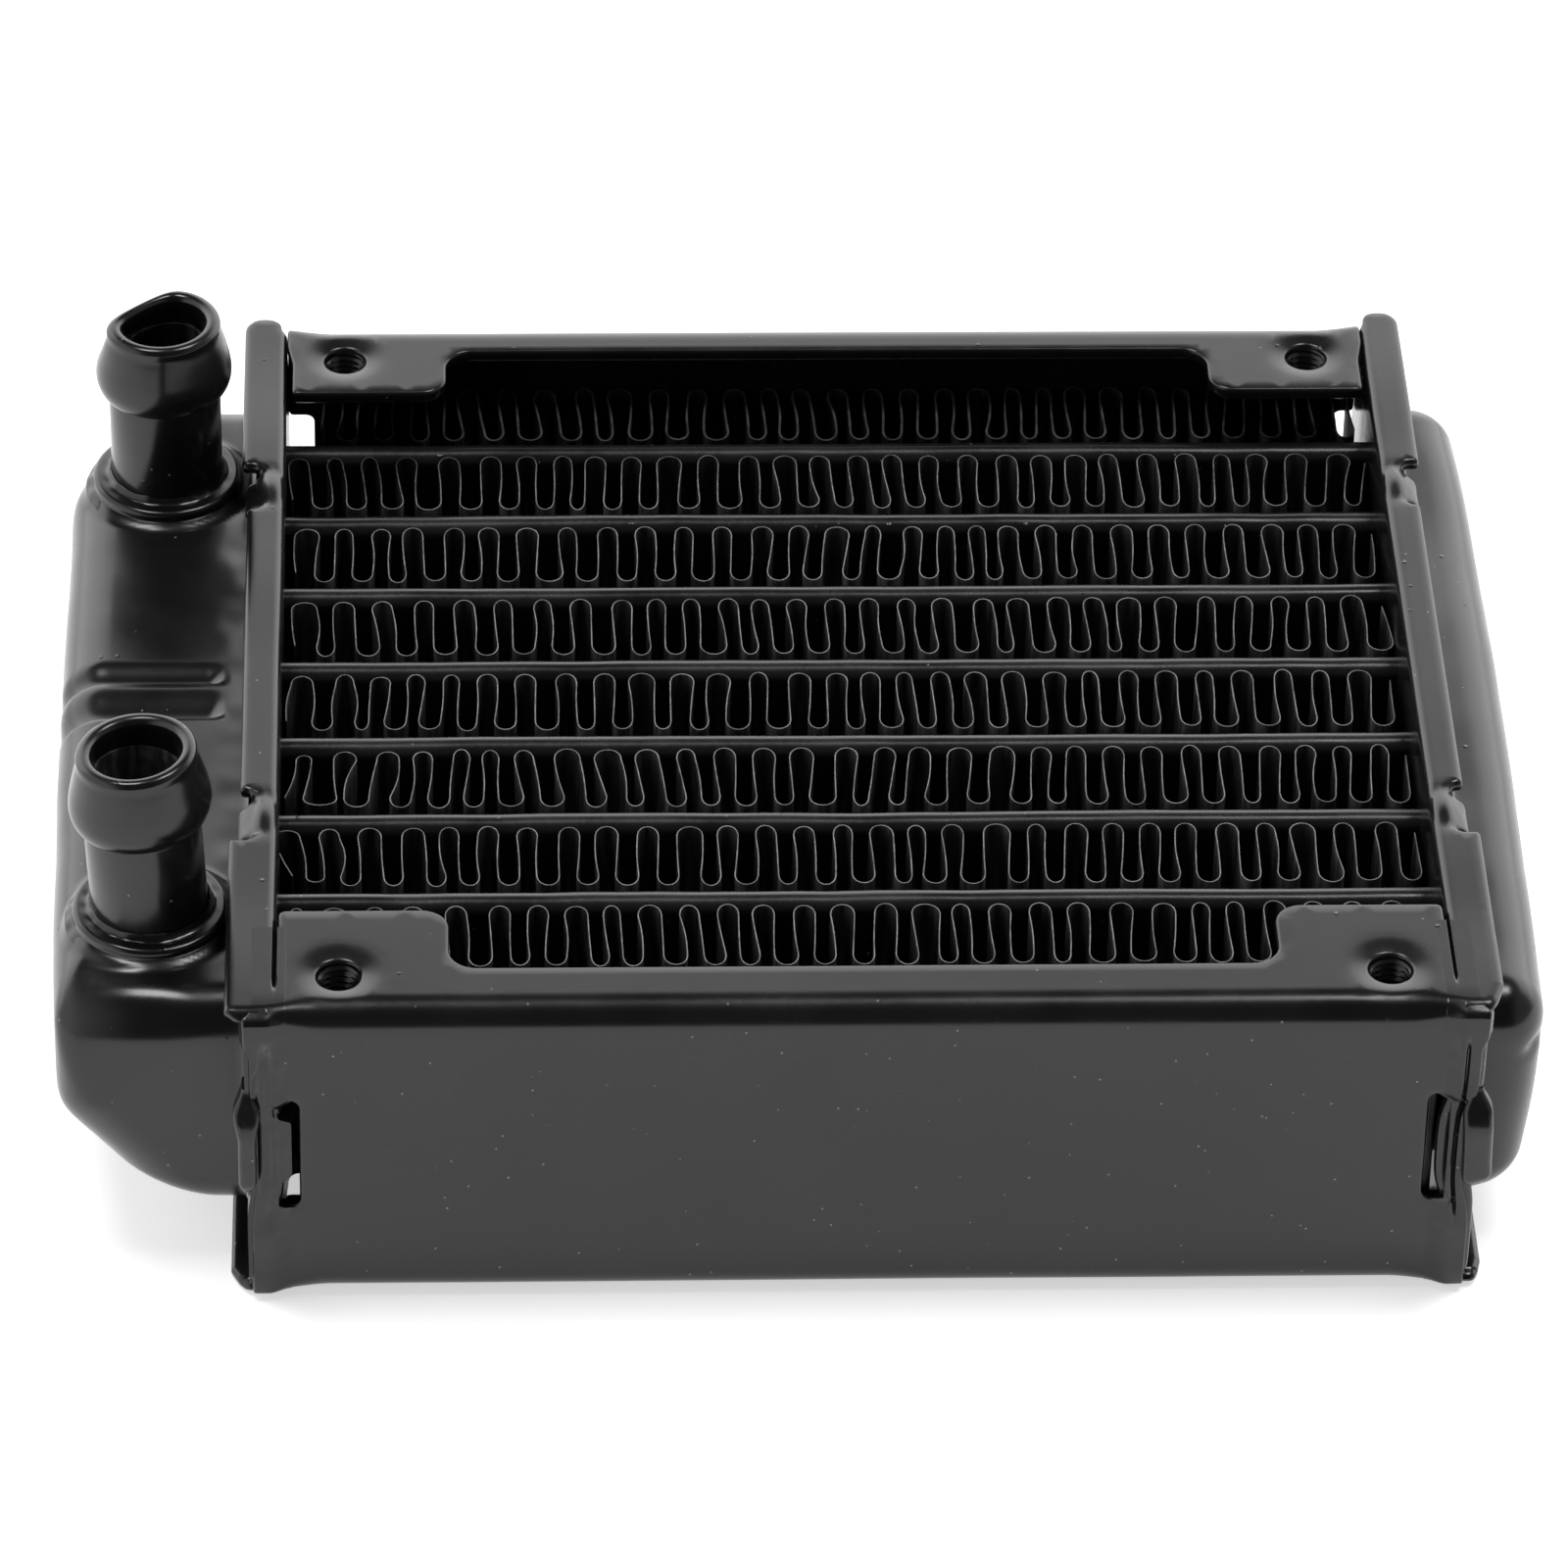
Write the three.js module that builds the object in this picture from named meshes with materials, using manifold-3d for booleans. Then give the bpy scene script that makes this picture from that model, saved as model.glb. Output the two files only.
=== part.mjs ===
// A small brazed-aluminium liquid cooling radiator for one 80 mm fan.
// Two header trays hold eight flat tubes with nine serpentine fin strips around them. A pressed tank closes
// each header. A divider splits the left tank into an inlet and an outlet chamber, each with a hose barb.
// Millimetres, +Z up. The tubes run along X, and the hose barbs stand up on the left (-X) tank.
import * as THREE from "three";
import { mergeVertices } from "three/addons/utils/BufferGeometryUtils.js";
import Module from "manifold-3d";

const wasm = await Module();
wasm.setup();

// Frame
const FAN_HOLE_PITCH = 71.5;
const FRAME_HEIGHT = 25.3;
const SHEET = 1.0;
const PLATE_FACE_Y = 40.15; // outer face of each side plate
const HEADER_FACE_X = 40.05; // core side of each header
const MID_HEIGHT = FRAME_HEIGHT / 2;
const BEND_RADIUS = 1.5;

// Side plates: how far each flange reaches in, measured from the core's middle plane
const FRONT_EAR_Y = 29.0;
const FRONT_NARROW_Y = 35.2;
const REAR_EAR_Y = 31.3;
const REAR_NARROW_Y = 36.5;
const EAR_LENGTH = 11.8;
const EAR_CORNER_RADIUS = 2.2;
const SCREW_HOLE_RADIUS = 1.5;
const SCREW_COLLAR_RADIUS = 2.4;
const SCREW_COLLAR_DEPTH = 1.3; // below the flange
const NOTCH_LENGTH = 1.5;
const NOTCH_LOW = 7.9;
const NOTCH_HIGH = 17.5;

// Core
const TUBE_COUNT = 8;
const TUBE_PITCH = 8.77;
const TUBE_THICKNESS = 2.0;
const TUBE_WIDTH = 16.0;
const TUBE_WALL = 0.35;
const TUBE_END_X = 41.6;
const SLOT_CLEARANCE = 0.1;
const FIN_PERIOD = 2.7;
const FIN_HALF_WAVES = 57;
const FIN_SHEET = 0.15;
const FIN_CREST = 0.65; // flat length where a wave meets a tube
const BRAZE_FILM = 0.02;

// Header trays and tanks
const HEADER_HALF_Y = 40.6;
const HEADER_RIM_X = 43.4; // reach of the rims along the top and bottom
const END_RIM_X = 42.3; // reach of the rims at the front and rear ends
const BRIM_INSET = 1.15; // from the header's outline to the tank's brim
const BRIM_CLEARANCE = 0.1;
const TANK_HALF_Y = 35.8;
const TANK_LOW = 3.55;
const TANK_HIGH = FRAME_HEIGHT - TANK_LOW;
const TANK_CORNER_RADIUS = 4.6;
const LEFT_TANK_X = 55.5;
const LEFT_TANK_EDGE = 3.2;
const RIGHT_TANK_X = 47.0;
const RIGHT_TANK_EDGE = 2.2;
const DIVIDER_Y = 0.9;
const DIVIDER_THICKNESS = 1.2;
const DIVIDER_CLEARANCE = 0.12;

// Hose barbs
const BARB_X = -48.75;
const BARB_Y = 25.1;
const BARB_TIP_Z = 36.1;
const BARB_BOTTOM_Z = 19.6;
const BEAD_LOW_Z = 29.0; // where the bead leaves the neck
const BEAD_SHOULDER_Z = 30.1;
const BEAD_WIDE_Z = 31.8;
const BEAD_TOP_Z = 32.8;
const RIM_Z = 35.8; // where the mouth's rounded rim starts
const BORE_RADIUS = 3.04;
const NECK_RADIUS = 4.05;
const BEAD_RADIUS = 4.95;
const BEAD_SHOULDER_RADIUS = 4.67;
const BEAD_TOP_RADIUS = 4.83;
const RIM_RADIUS = 4.25;
const TIP_RADIUS = 4.0;
const COLLAR_RADIUS = 5.3;
const COLLAR_HEIGHT = 1.05;
const COLLAR_CHAMFER = 0.3;
const BARB_FIT = 0.06; // radial room around a barb's neck

// Facets: pieces to each quarter turn of an outline, and to each full turn of a round piece
const FINE_QUARTER = 4;
const COARSE_QUARTER = 2;
const ROUND_STEPS = 24;
const HOLE_STEPS = 12;

// The tubes' own frame is centred between the headers. The left tank is deeper, so the whole is moved until
// the origin lies under the middle of the overall box.
const ORIGIN_SHIFT_X = (LEFT_TANK_X - RIGHT_TANK_X) / 2;

const paint = (color, roughness) => new THREE.MeshStandardMaterial({ color, roughness, metalness: 0.1 });
const framePaint = paint(0x2b2b2c, 0.42);
const tankPaint = paint(0x262627, 0.38);
const barbPaint = paint(0x232324, 0.35);
const tubePaint = paint(0x303031, 0.5);
const finPaint = paint(0x3c3c3d, 0.55);
const bareAluminium = new THREE.MeshStandardMaterial({ color: 0xb9bbbd, roughness: 0.45, metalness: 0.9 });

// Turns a shape drawn in (y, z) and extruded along its own third axis so that the third axis runs along +X.
const ALONG_X = new THREE.Matrix4().makeBasis(
  new THREE.Vector3(0, 1, 0),
  new THREE.Vector3(0, 0, 1),
  new THREE.Vector3(1, 0, 0),
);

// An arc is divided into twice its curveSegments.
function extrude(shape, from, to, quarter = COARSE_QUARTER) {
  const geometry = new THREE.ExtrudeGeometry(shape, {
    depth: to - from,
    bevelEnabled: false,
    curveSegments: quarter / 2,
  });
  return geometry.translate(0, 0, from);
}

function extrudeX(shape, from, to, quarter = COARSE_QUARTER) {
  return extrude(shape, from, to, quarter).applyMatrix4(ALONG_X);
}

function extrudeY(shapeXZ, from, to, quarter = COARSE_QUARTER) {
  // The shape is drawn in (x, z). Its third axis runs along -Y, so the span is taken backwards.
  return extrude(shapeXZ, -to, -from, quarter).rotateX(Math.PI / 2);
}

function roundedRectangle(left, low, right, high, radius) {
  const shape = new THREE.Shape();
  shape.absarc(right - radius, low + radius, radius, -Math.PI / 2, 0);
  shape.absarc(right - radius, high - radius, radius, 0, Math.PI / 2);
  shape.absarc(left + radius, high - radius, radius, Math.PI / 2, Math.PI);
  shape.absarc(left + radius, low + radius, radius, Math.PI, 1.5 * Math.PI);
  shape.closePath();
  return shape;
}

function asSolid(geometry) {
  const bare = geometry.clone();
  bare.deleteAttribute("normal");
  bare.deleteAttribute("uv");
  const merged = mergeVertices(bare, 1e-4);
  const vertProperties = merged.attributes.position.array;
  const triVerts = new Uint32Array(merged.index.array);
  return new wasm.Manifold(new wasm.Mesh({ numProp: 3, vertProperties, triVerts }));
}

function asGeometry(solid) {
  const { vertProperties, triVerts } = solid.getMesh();
  const geometry = new THREE.BufferGeometry();
  geometry.setAttribute("position", new THREE.BufferAttribute(vertProperties, 3));
  geometry.setIndex(new THREE.BufferAttribute(triVerts, 1));
  const flat = geometry.toNonIndexed();
  flat.computeVertexNormals();
  return flat;
}

function named(name, geometry, material) {
  const mesh = new THREE.Mesh(geometry, material);
  mesh.name = name;
  return mesh;
}

// ---- side plates ------------------------------------------------------------------------------------

// The channel's section in (y, z), for the plate on the +Y side.
function channelSection(flangeEdge) {
  const outside = BEND_RADIUS;
  const inside = BEND_RADIUS - SHEET;
  const face = PLATE_FACE_Y;
  const shape = new THREE.Shape();
  shape.moveTo(flangeEdge, SHEET);
  shape.lineTo(flangeEdge, 0);
  shape.absarc(face - outside, outside, outside, -Math.PI / 2, 0);
  shape.absarc(face - outside, FRAME_HEIGHT - outside, outside, 0, Math.PI / 2);
  shape.lineTo(flangeEdge, FRAME_HEIGHT);
  shape.lineTo(flangeEdge, FRAME_HEIGHT - SHEET);
  shape.absarc(face - outside, FRAME_HEIGHT - outside, inside, Math.PI / 2, 0, true);
  shape.absarc(face - outside, outside, inside, 0, -Math.PI / 2, true);
  shape.closePath();
  return shape;
}

// What is cut from both flanges between the ears, in (x, y): round at the ears' corners and in its own.
function earGap(earEdge, narrowEdge) {
  const half = HEADER_FACE_X - EAR_LENGTH;
  const radius = EAR_CORNER_RADIUS;
  const past = earEdge - 1;
  const shape = new THREE.Shape();
  shape.moveTo(half + radius, past);
  shape.lineTo(half + radius, earEdge);
  shape.absarc(half + radius, earEdge + radius, radius, 1.5 * Math.PI, Math.PI, true);
  shape.absarc(half - radius, narrowEdge - radius, radius, 0, Math.PI / 2);
  shape.absarc(-half + radius, narrowEdge - radius, radius, Math.PI / 2, Math.PI);
  shape.absarc(-half - radius, earEdge + radius, radius, 0, -Math.PI / 2, true);
  shape.lineTo(-half - radius, past);
  shape.closePath();
  return shape;
}

function cylinderZ(radius, low, high, x, y, steps = ROUND_STEPS) {
  const geometry = new THREE.CylinderGeometry(radius, radius, high - low, steps);
  return geometry.rotateX(Math.PI / 2).translate(x, y, (low + high) / 2);
}

// A plate for the +Y side: a channel with two ears on each flange, a threaded collar in each ear and an
// open notch in each end of the web, where the header's clinch tab passes.
function sidePlate(earEdge, narrowEdge) {
  const end = HEADER_FACE_X;
  let plate = asSolid(extrudeX(channelSection(earEdge), -end, end, FINE_QUARTER));
  const gap = extrude(earGap(earEdge, narrowEdge), -1, FRAME_HEIGHT + 1, FINE_QUARTER);
  plate = plate.subtract(asSolid(gap));
  const half = FAN_HOLE_PITCH / 2;
  const under = SHEET + SCREW_COLLAR_DEPTH;
  for (const x of [-half, half]) {
    for (const low of [0, FRAME_HEIGHT - under]) {
      plate = plate.add(asSolid(cylinderZ(SCREW_COLLAR_RADIUS, low, low + under, x, half, HOLE_STEPS)));
    }
    plate = plate.subtract(asSolid(cylinderZ(SCREW_HOLE_RADIUS, -1, FRAME_HEIGHT + 1, x, half, HOLE_STEPS)));
  }
  for (const side of [-1, 1]) {
    const ends = [side * (end - NOTCH_LENGTH), side * (end + 1)].sort((a, b) => a - b);
    const notch = roundedRectangle(ends[0], NOTCH_LOW, ends[1], NOTCH_HIGH, 0.5);
    plate = plate.subtract(asSolid(extrudeY(notch, PLATE_FACE_Y - 2 * SHEET, PLATE_FACE_Y + 1)));
  }
  return asGeometry(plate);
}

function sidePlates() {
  const rear = named("rear_side_plate", sidePlate(REAR_EAR_Y, REAR_NARROW_Y), framePaint);
  const front = named("front_side_plate", sidePlate(FRONT_EAR_Y, FRONT_NARROW_Y), framePaint);
  front.rotation.z = Math.PI;
  return [front, rear];
}

// ---- core -------------------------------------------------------------------------------------------

const tubeY = (index) => (index - (TUBE_COUNT - 1) / 2) * TUBE_PITCH;

// A flat tube's outline in (y, z), grown by a margin.
function tubeOutline(y, margin) {
  const radius = TUBE_THICKNESS / 2 + margin;
  const reach = TUBE_WIDTH / 2 + margin;
  return roundedRectangle(y - radius, MID_HEIGHT - reach, y + radius, MID_HEIGHT + reach, radius);
}

function flatTube(index) {
  const shape = tubeOutline(tubeY(index), 0);
  shape.holes.push(tubeOutline(tubeY(index), -TUBE_WALL));
  return named("flat_tube_" + (index + 1), extrudeX(shape, -TUBE_END_X, TUBE_END_X), tubePaint);
}

// A closed outline around a polyline, half a thickness to each side of it.
function ribbon(points, thickness) {
  const offsets = points.map((point, i) => {
    const before = points[Math.max(i - 1, 0)];
    const after = points[Math.min(i + 1, points.length - 1)];
    const into = point.clone().sub(before).normalize();
    const out = after.clone().sub(point).normalize();
    const along = into.clone().add(out).normalize();
    const miter = 1 / Math.max(along.dot(i ? into : out), 0.5);
    return new THREE.Vector2(-along.y, along.x).multiplyScalar((thickness / 2) * miter);
  });
  const left = points.map((point, i) => point.clone().add(offsets[i]));
  const right = points.map((point, i) => point.clone().sub(offsets[i]));
  return new THREE.Shape([...right, ...left.reverse()]);
}

function finStrip(number, centreY, height) {
  const reach = (height - FIN_SHEET) / 2;
  const start = (-FIN_HALF_WAVES * FIN_PERIOD) / 4;
  const points = [];
  for (let half = 0; half < FIN_HALF_WAVES; half++) {
    const middle = start + (half + 0.5) * (FIN_PERIOD / 2);
    const y = centreY + (half % 2 ? -reach : reach);
    points.push(new THREE.Vector2(middle - FIN_CREST / 2, y));
    points.push(new THREE.Vector2(middle + FIN_CREST / 2, y));
  }
  const low = MID_HEIGHT - TUBE_WIDTH / 2;
  const high = MID_HEIGHT + TUBE_WIDTH / 2;
  return named("fin_strip_" + number, extrude(ribbon(points, FIN_SHEET), low, high), finPaint);
}

// Rows are counted from the front. The two outer rows lie against the side plates.
function finStrips() {
  const height = TUBE_PITCH - TUBE_THICKNESS - 2 * BRAZE_FILM;
  const outer = PLATE_FACE_Y - SHEET - BRAZE_FILM - height / 2;
  const strips = [finStrip(1, -outer, height)];
  for (let row = 1; row < TUBE_COUNT; row++) {
    strips.push(finStrip(row + 1, (tubeY(row - 1) + tubeY(row)) / 2, height));
  }
  strips.push(finStrip(TUBE_COUNT + 1, outer, height));
  return strips;
}

// ---- headers and tanks: drawn for the +X side -------------------------------------------------------

function header() {
  const rim = HEADER_RIM_X;
  const floor = HEADER_FACE_X + SHEET;
  const y = HEADER_HALF_Y;
  const outline = roundedRectangle(-y, 0, y, FRAME_HEIGHT, BEND_RADIUS);
  const pocket = roundedRectangle(-y + SHEET, SHEET, y - SHEET, FRAME_HEIGHT - SHEET, BEND_RADIUS - SHEET);
  let tray = asSolid(extrudeX(outline, HEADER_FACE_X, rim));
  tray = tray.subtract(asSolid(extrudeX(pocket, floor, rim + 1)));
  const betweenRims = roundedRectangle(-y - 1, SHEET, y + 1, FRAME_HEIGHT - SHEET, BEND_RADIUS - SHEET);
  tray = tray.subtract(asSolid(extrudeX(betweenRims, END_RIM_X, rim + 1)));
  for (let index = 0; index < TUBE_COUNT; index++) {
    const slot = tubeOutline(tubeY(index), SLOT_CLEARANCE);
    tray = tray.subtract(asSolid(extrudeX(slot, HEADER_FACE_X - 1, floor + 1)));
  }
  return asGeometry(tray);
}

// A closed box with a rounded edge on its +X side, from a start plane out to a given face.
function roundedBox(start, face, halfY, low, high, corner, edge) {
  const outline = roundedRectangle(-halfY + edge, low + edge, halfY - edge, high - edge, corner - edge);
  const geometry = new THREE.ExtrudeGeometry(outline, {
    depth: face - start,
    curveSegments: FINE_QUARTER / 2,
    bevelThickness: edge,
    bevelSize: edge,
    bevelSegments: FINE_QUARTER - 1,
  });
  geometry.translate(0, 0, start - edge);
  const box = asSolid(geometry.applyMatrix4(ALONG_X));
  const reach = 2 * (face - start);
  const keep = new THREE.BoxGeometry(reach, 4 * halfY, 4 * high).translate(start + reach / 2, 0, 0);
  return box.intersect(asSolid(keep));
}

// A pressed shell with a brim that lies in the header's tray.
function tankShell(face, edge) {
  const start = HEADER_FACE_X + SHEET + BRIM_CLEARANCE;
  const inset = BRIM_INSET;
  const y = HEADER_HALF_Y - inset;
  const brim = roundedRectangle(-y, inset, y, FRAME_HEIGHT - inset, BEND_RADIUS);
  const outside = roundedBox(start, face, TANK_HALF_Y, TANK_LOW, TANK_HIGH, TANK_CORNER_RADIUS, edge);
  const wall = SHEET;
  const inside = roundedBox(
    start - wall,
    face - wall,
    TANK_HALF_Y - wall,
    TANK_LOW + wall,
    TANK_HIGH - wall,
    TANK_CORNER_RADIUS - wall,
    edge - wall,
  );
  return asSolid(extrudeX(brim, start, start + SHEET)).add(outside).subtract(inside);
}

function leftTank() {
  let shell = tankShell(LEFT_TANK_X, LEFT_TANK_EDGE);
  for (const y of [-BARB_Y, BARB_Y]) {
    const hole = cylinderZ(NECK_RADIUS + BARB_FIT, MID_HEIGHT, FRAME_HEIGHT, -BARB_X, y);
    shell = shell.subtract(asSolid(hole));
  }
  return asGeometry(shell);
}

function divider() {
  const gap = DIVIDER_CLEARANCE;
  const inner = HEADER_FACE_X + SHEET + gap;
  const outer = LEFT_TANK_X - SHEET - gap;
  const low = TANK_LOW + SHEET + gap;
  const high = TANK_HIGH - SHEET - gap;
  const shape = roundedRectangle(inner, low, outer, high, LEFT_TANK_EDGE - SHEET);
  return extrudeY(shape, -DIVIDER_Y - DIVIDER_THICKNESS / 2, -DIVIDER_Y + DIVIDER_THICKNESS / 2);
}

function endPieces() {
  const left = new THREE.Group();
  left.rotation.z = Math.PI;
  left.add(named("left_header", header(), framePaint));
  left.add(named("left_tank", leftTank(), tankPaint));
  left.add(named("tank_divider", divider(), bareAluminium));
  const right = new THREE.Group();
  right.add(named("right_header", header(), framePaint));
  right.add(named("right_tank", asGeometry(tankShell(RIGHT_TANK_X, RIGHT_TANK_EDGE)), tankPaint));
  return [left, right];
}

// ---- hose barbs -------------------------------------------------------------------------------------

function barb(name) {
  const profile = [
    new THREE.Vector2(BORE_RADIUS, BARB_BOTTOM_Z),
    new THREE.Vector2(NECK_RADIUS, BARB_BOTTOM_Z),
    new THREE.Vector2(NECK_RADIUS, BEAD_LOW_Z),
    new THREE.Vector2(BEAD_SHOULDER_RADIUS, BEAD_SHOULDER_Z),
    new THREE.Vector2(BEAD_RADIUS, BEAD_WIDE_Z),
    new THREE.Vector2(BEAD_TOP_RADIUS, BEAD_TOP_Z),
    new THREE.Vector2(RIM_RADIUS, RIM_Z),
    new THREE.Vector2(TIP_RADIUS, BARB_TIP_Z),
    new THREE.Vector2(BORE_RADIUS, BARB_TIP_Z),
    new THREE.Vector2(BORE_RADIUS, BARB_BOTTOM_Z),
  ];
  return named(name, new THREE.LatheGeometry(profile, ROUND_STEPS).rotateX(Math.PI / 2), barbPaint);
}

function collar(name) {
  const inner = NECK_RADIUS + BARB_FIT;
  const low = TANK_HIGH + BRAZE_FILM;
  const high = low + COLLAR_HEIGHT;
  const profile = [
    new THREE.Vector2(inner, low),
    new THREE.Vector2(COLLAR_RADIUS, low),
    new THREE.Vector2(COLLAR_RADIUS, high - COLLAR_CHAMFER),
    new THREE.Vector2(COLLAR_RADIUS - COLLAR_CHAMFER, high),
    new THREE.Vector2(inner, high),
    new THREE.Vector2(inner, low),
  ];
  return named(name, new THREE.LatheGeometry(profile, ROUND_STEPS).rotateX(Math.PI / 2), barbPaint);
}

function hoseEnd(kind, y) {
  const group = new THREE.Group();
  group.position.set(BARB_X, y, 0);
  group.add(barb(kind + "_barb"), collar(kind + "_collar"));
  return group;
}

const radiator = new THREE.Group();
radiator.name = "liquid_cooling_radiator";
radiator.position.x = ORIGIN_SHIFT_X;
radiator.add(...sidePlates());
for (let index = 0; index < TUBE_COUNT; index++) {
  radiator.add(flatTube(index));
}
radiator.add(...finStrips());
radiator.add(...endPieces());
radiator.add(hoseEnd("inlet", -BARB_Y), hoseEnd("outlet", BARB_Y));

export default radiator;
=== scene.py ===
"""Looks of the small liquid cooling radiator: brazed aluminium under satin black paint.

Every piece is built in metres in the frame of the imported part. Most pieces are pressed sheet, so they are
cut as a flat blank, in (u, v), and then folded: see sheet() and folded().
"""
import math

import bmesh
import bpy
import numpy as np
from mathutils import Matrix, Vector
from mathutils.geometry import delaunay_2d_cdt


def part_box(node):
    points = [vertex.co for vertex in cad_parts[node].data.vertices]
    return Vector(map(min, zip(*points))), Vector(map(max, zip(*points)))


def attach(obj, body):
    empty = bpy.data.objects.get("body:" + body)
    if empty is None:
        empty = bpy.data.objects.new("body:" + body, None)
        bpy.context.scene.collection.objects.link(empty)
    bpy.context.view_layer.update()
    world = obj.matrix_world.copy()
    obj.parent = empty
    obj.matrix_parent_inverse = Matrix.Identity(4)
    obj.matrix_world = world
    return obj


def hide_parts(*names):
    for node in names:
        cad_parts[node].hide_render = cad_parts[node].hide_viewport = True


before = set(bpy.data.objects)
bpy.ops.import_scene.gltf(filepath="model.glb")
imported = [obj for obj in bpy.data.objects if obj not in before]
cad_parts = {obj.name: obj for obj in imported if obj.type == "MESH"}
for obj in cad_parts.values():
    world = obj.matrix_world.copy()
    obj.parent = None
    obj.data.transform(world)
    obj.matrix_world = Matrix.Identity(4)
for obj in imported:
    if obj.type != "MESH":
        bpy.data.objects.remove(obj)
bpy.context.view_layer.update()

MM = 0.001
TURN = 2 * math.pi

# ---- sizes read from the frame -------------------------------------------------------------------------------

front_low, front_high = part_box("front_side_plate")
rear_low, rear_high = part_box("rear_side_plate")
right_header_low, right_header_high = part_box("right_header")
left_header_low, left_header_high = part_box("left_header")

CORE_X = (front_low.x + front_high.x) / 2
HALF_X = (front_high.x - front_low.x) / 2
TOP = front_high.z
FACE_Y = rear_high.y
FRONT_EAR_Y = -front_high.y
REAR_EAR_Y = rear_low.y
HEADER_RIM_X = right_header_high.x - CORE_X
HEADER_END_Y = right_header_high.y

# ---- sizes of the pressed sheets -------------------------------------------------------------------------------

SHEET = 1.0 * MM
RIM = 0.26 * MM
PLATE_BEND = 2.0 * MM
HEADER_BEND = 0.65 * MM
HEADER_END_BEND = 1.0 * MM
EAR_LENGTH = 11.8 * MM
EAR_CORNER = 1.9 * MM
FRONT_EAR_DEPTH = 6.2 * MM
REAR_EAR_DEPTH = 5.2 * MM
FAN_PITCH = 71.5 * MM
SCREW_RADIUS = 1.5 * MM
SCREW_PITCH = 0.5 * MM
COLLAR_RADIUS = 2.4 * MM
COLLAR_DEPTH = 2.3 * MM
NOTCH_LOW = 8.2 * MM
NOTCH_HIGH = 17.5 * MM
NOTCH_LENGTH = 1.5 * MM


# ---- meshes --------------------------------------------------------------------------------------------------


def unit(vector):
    return vector / np.linalg.norm(vector)


def smoothstep(low, high, value):
    """0 below low, 1 above high, with a smooth rise between. Low may be the larger one, for a fall."""
    share = np.clip((value - low) / (high - low), 0, 1)
    return share * share * (3 - 2 * share)


def waves(points, wavelength, seed, count=18):
    """A smooth random field of about -1 to 1 at each point."""
    rng = np.random.default_rng(seed)
    directions = rng.normal(size=(count, 3))
    directions /= np.linalg.norm(directions, axis=1)[:, None]
    turns = TURN / (wavelength * rng.uniform(0.7, 1.7, count))
    phases = rng.uniform(0, TURN, count)
    values = np.sin(points @ (directions * turns[:, None]).T + phases)
    return values.mean(axis=1) * math.sqrt(count) / 1.6


def piece(name, points, faces, material, replaces=(), crease=38):
    """A shown piece of the object, with its faces turned outwards and shaded smooth up to a crease angle."""
    mesh = bpy.data.meshes.new(name)
    mesh.from_pydata([tuple(p) for p in points], [], [tuple(f) for f in faces])
    work = bmesh.new()
    work.from_mesh(mesh)
    bmesh.ops.recalc_face_normals(work, faces=work.faces)
    work.to_mesh(mesh)
    work.free()
    mesh.shade_smooth()
    mesh.set_sharp_from_angle(angle=math.radians(crease))
    mesh.materials.append(material)
    made = bpy.data.objects.new(name, mesh)
    bpy.context.scene.collection.objects.link(made)
    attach(made, "root")
    if replaces:
        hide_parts(*replaces)
    return made


def bridge(first, second, closed=True):
    """Quads between two rows of vertex numbers."""
    count = len(first) if closed else len(first) - 1
    pairs = [(i, (i + 1) % len(first)) for i in range(count)]
    return [(first[i], first[j], second[j], second[i]) for i, j in pairs]


def grid_faces(rows, columns, wrap_rows=False, wrap_columns=False):
    """Quads of a grid whose vertices are numbered row by row."""
    faces = []
    for r in range(rows if wrap_rows else rows - 1):
        first = [r * columns + c for c in range(columns)]
        second = [((r + 1) % rows) * columns + c for c in range(columns)]
        faces += bridge(first, second, wrap_columns)
    return faces


# ---- flat blanks -----------------------------------------------------------------------------------------------


def outline(corners, step=0.45 * MM):
    """A closed loop of points through corners (u, v, radius), each corner rounded by its radius."""
    points = []
    for i, (u, v, radius) in enumerate(corners):
        corner = np.array((u, v))
        back = unit(np.array(corners[i - 1][:2]) - corner)
        ahead = unit(np.array(corners[(i + 1) % len(corners)][:2]) - corner)
        half = math.acos(max(-1.0, min(1.0, back @ ahead))) / 2
        if half > math.radians(89):
            points.append(corner)
            continue
        centre = corner + unit(back + ahead) * radius / math.sin(half)
        start = corner + back * radius / math.tan(half) - centre
        end = corner + ahead * radius / math.tan(half) - centre
        first = math.atan2(start[1], start[0])
        sweep = (math.atan2(end[1], end[0]) - first + math.pi) % TURN - math.pi
        count = max(3, int(abs(sweep) * radius / (0.18 * MM)))
        for angle in np.linspace(first, first + sweep, count):
            points.append(centre + radius * np.array((math.cos(angle), math.sin(angle))))
    loop = []
    for point, after in zip(points, points[1:] + points[:1]):
        pieces = max(1, round(np.linalg.norm(after - point) / step))
        loop += [point + (after - point) * k / pieces for k in range(pieces)]
    return np.array(loop)


def circle(centre, radius, count=48):
    """A loop that runs clockwise, as the edge of a hole does."""
    angles = -np.arange(count) * TURN / count
    return np.array(centre) + radius * np.column_stack((np.cos(angles), np.sin(angles)))


def outward(loop):
    """The direction away from the material at each point of a loop."""
    along = np.roll(loop, -1, axis=0) - np.roll(loop, 1, axis=0)
    along /= np.linalg.norm(along, axis=1)[:, None]
    return np.column_stack((along[:, 1], -along[:, 0]))


def inside(loop, points):
    """Which points lie inside a closed loop, by counting the edges they cross."""
    u, v = points[:, 0, None], points[:, 1, None]
    u0, v0 = loop[:, 0], loop[:, 1]
    u1, v1 = np.roll(u0, -1), np.roll(v0, -1)
    spans = (v0 > v) != (v1 > v)
    rise = np.where(v1 == v0, 1, v1 - v0)
    return np.sum(spans & (u < u0 + (v - v0) * (u1 - u0) / rise), axis=1) % 2 == 1


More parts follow.
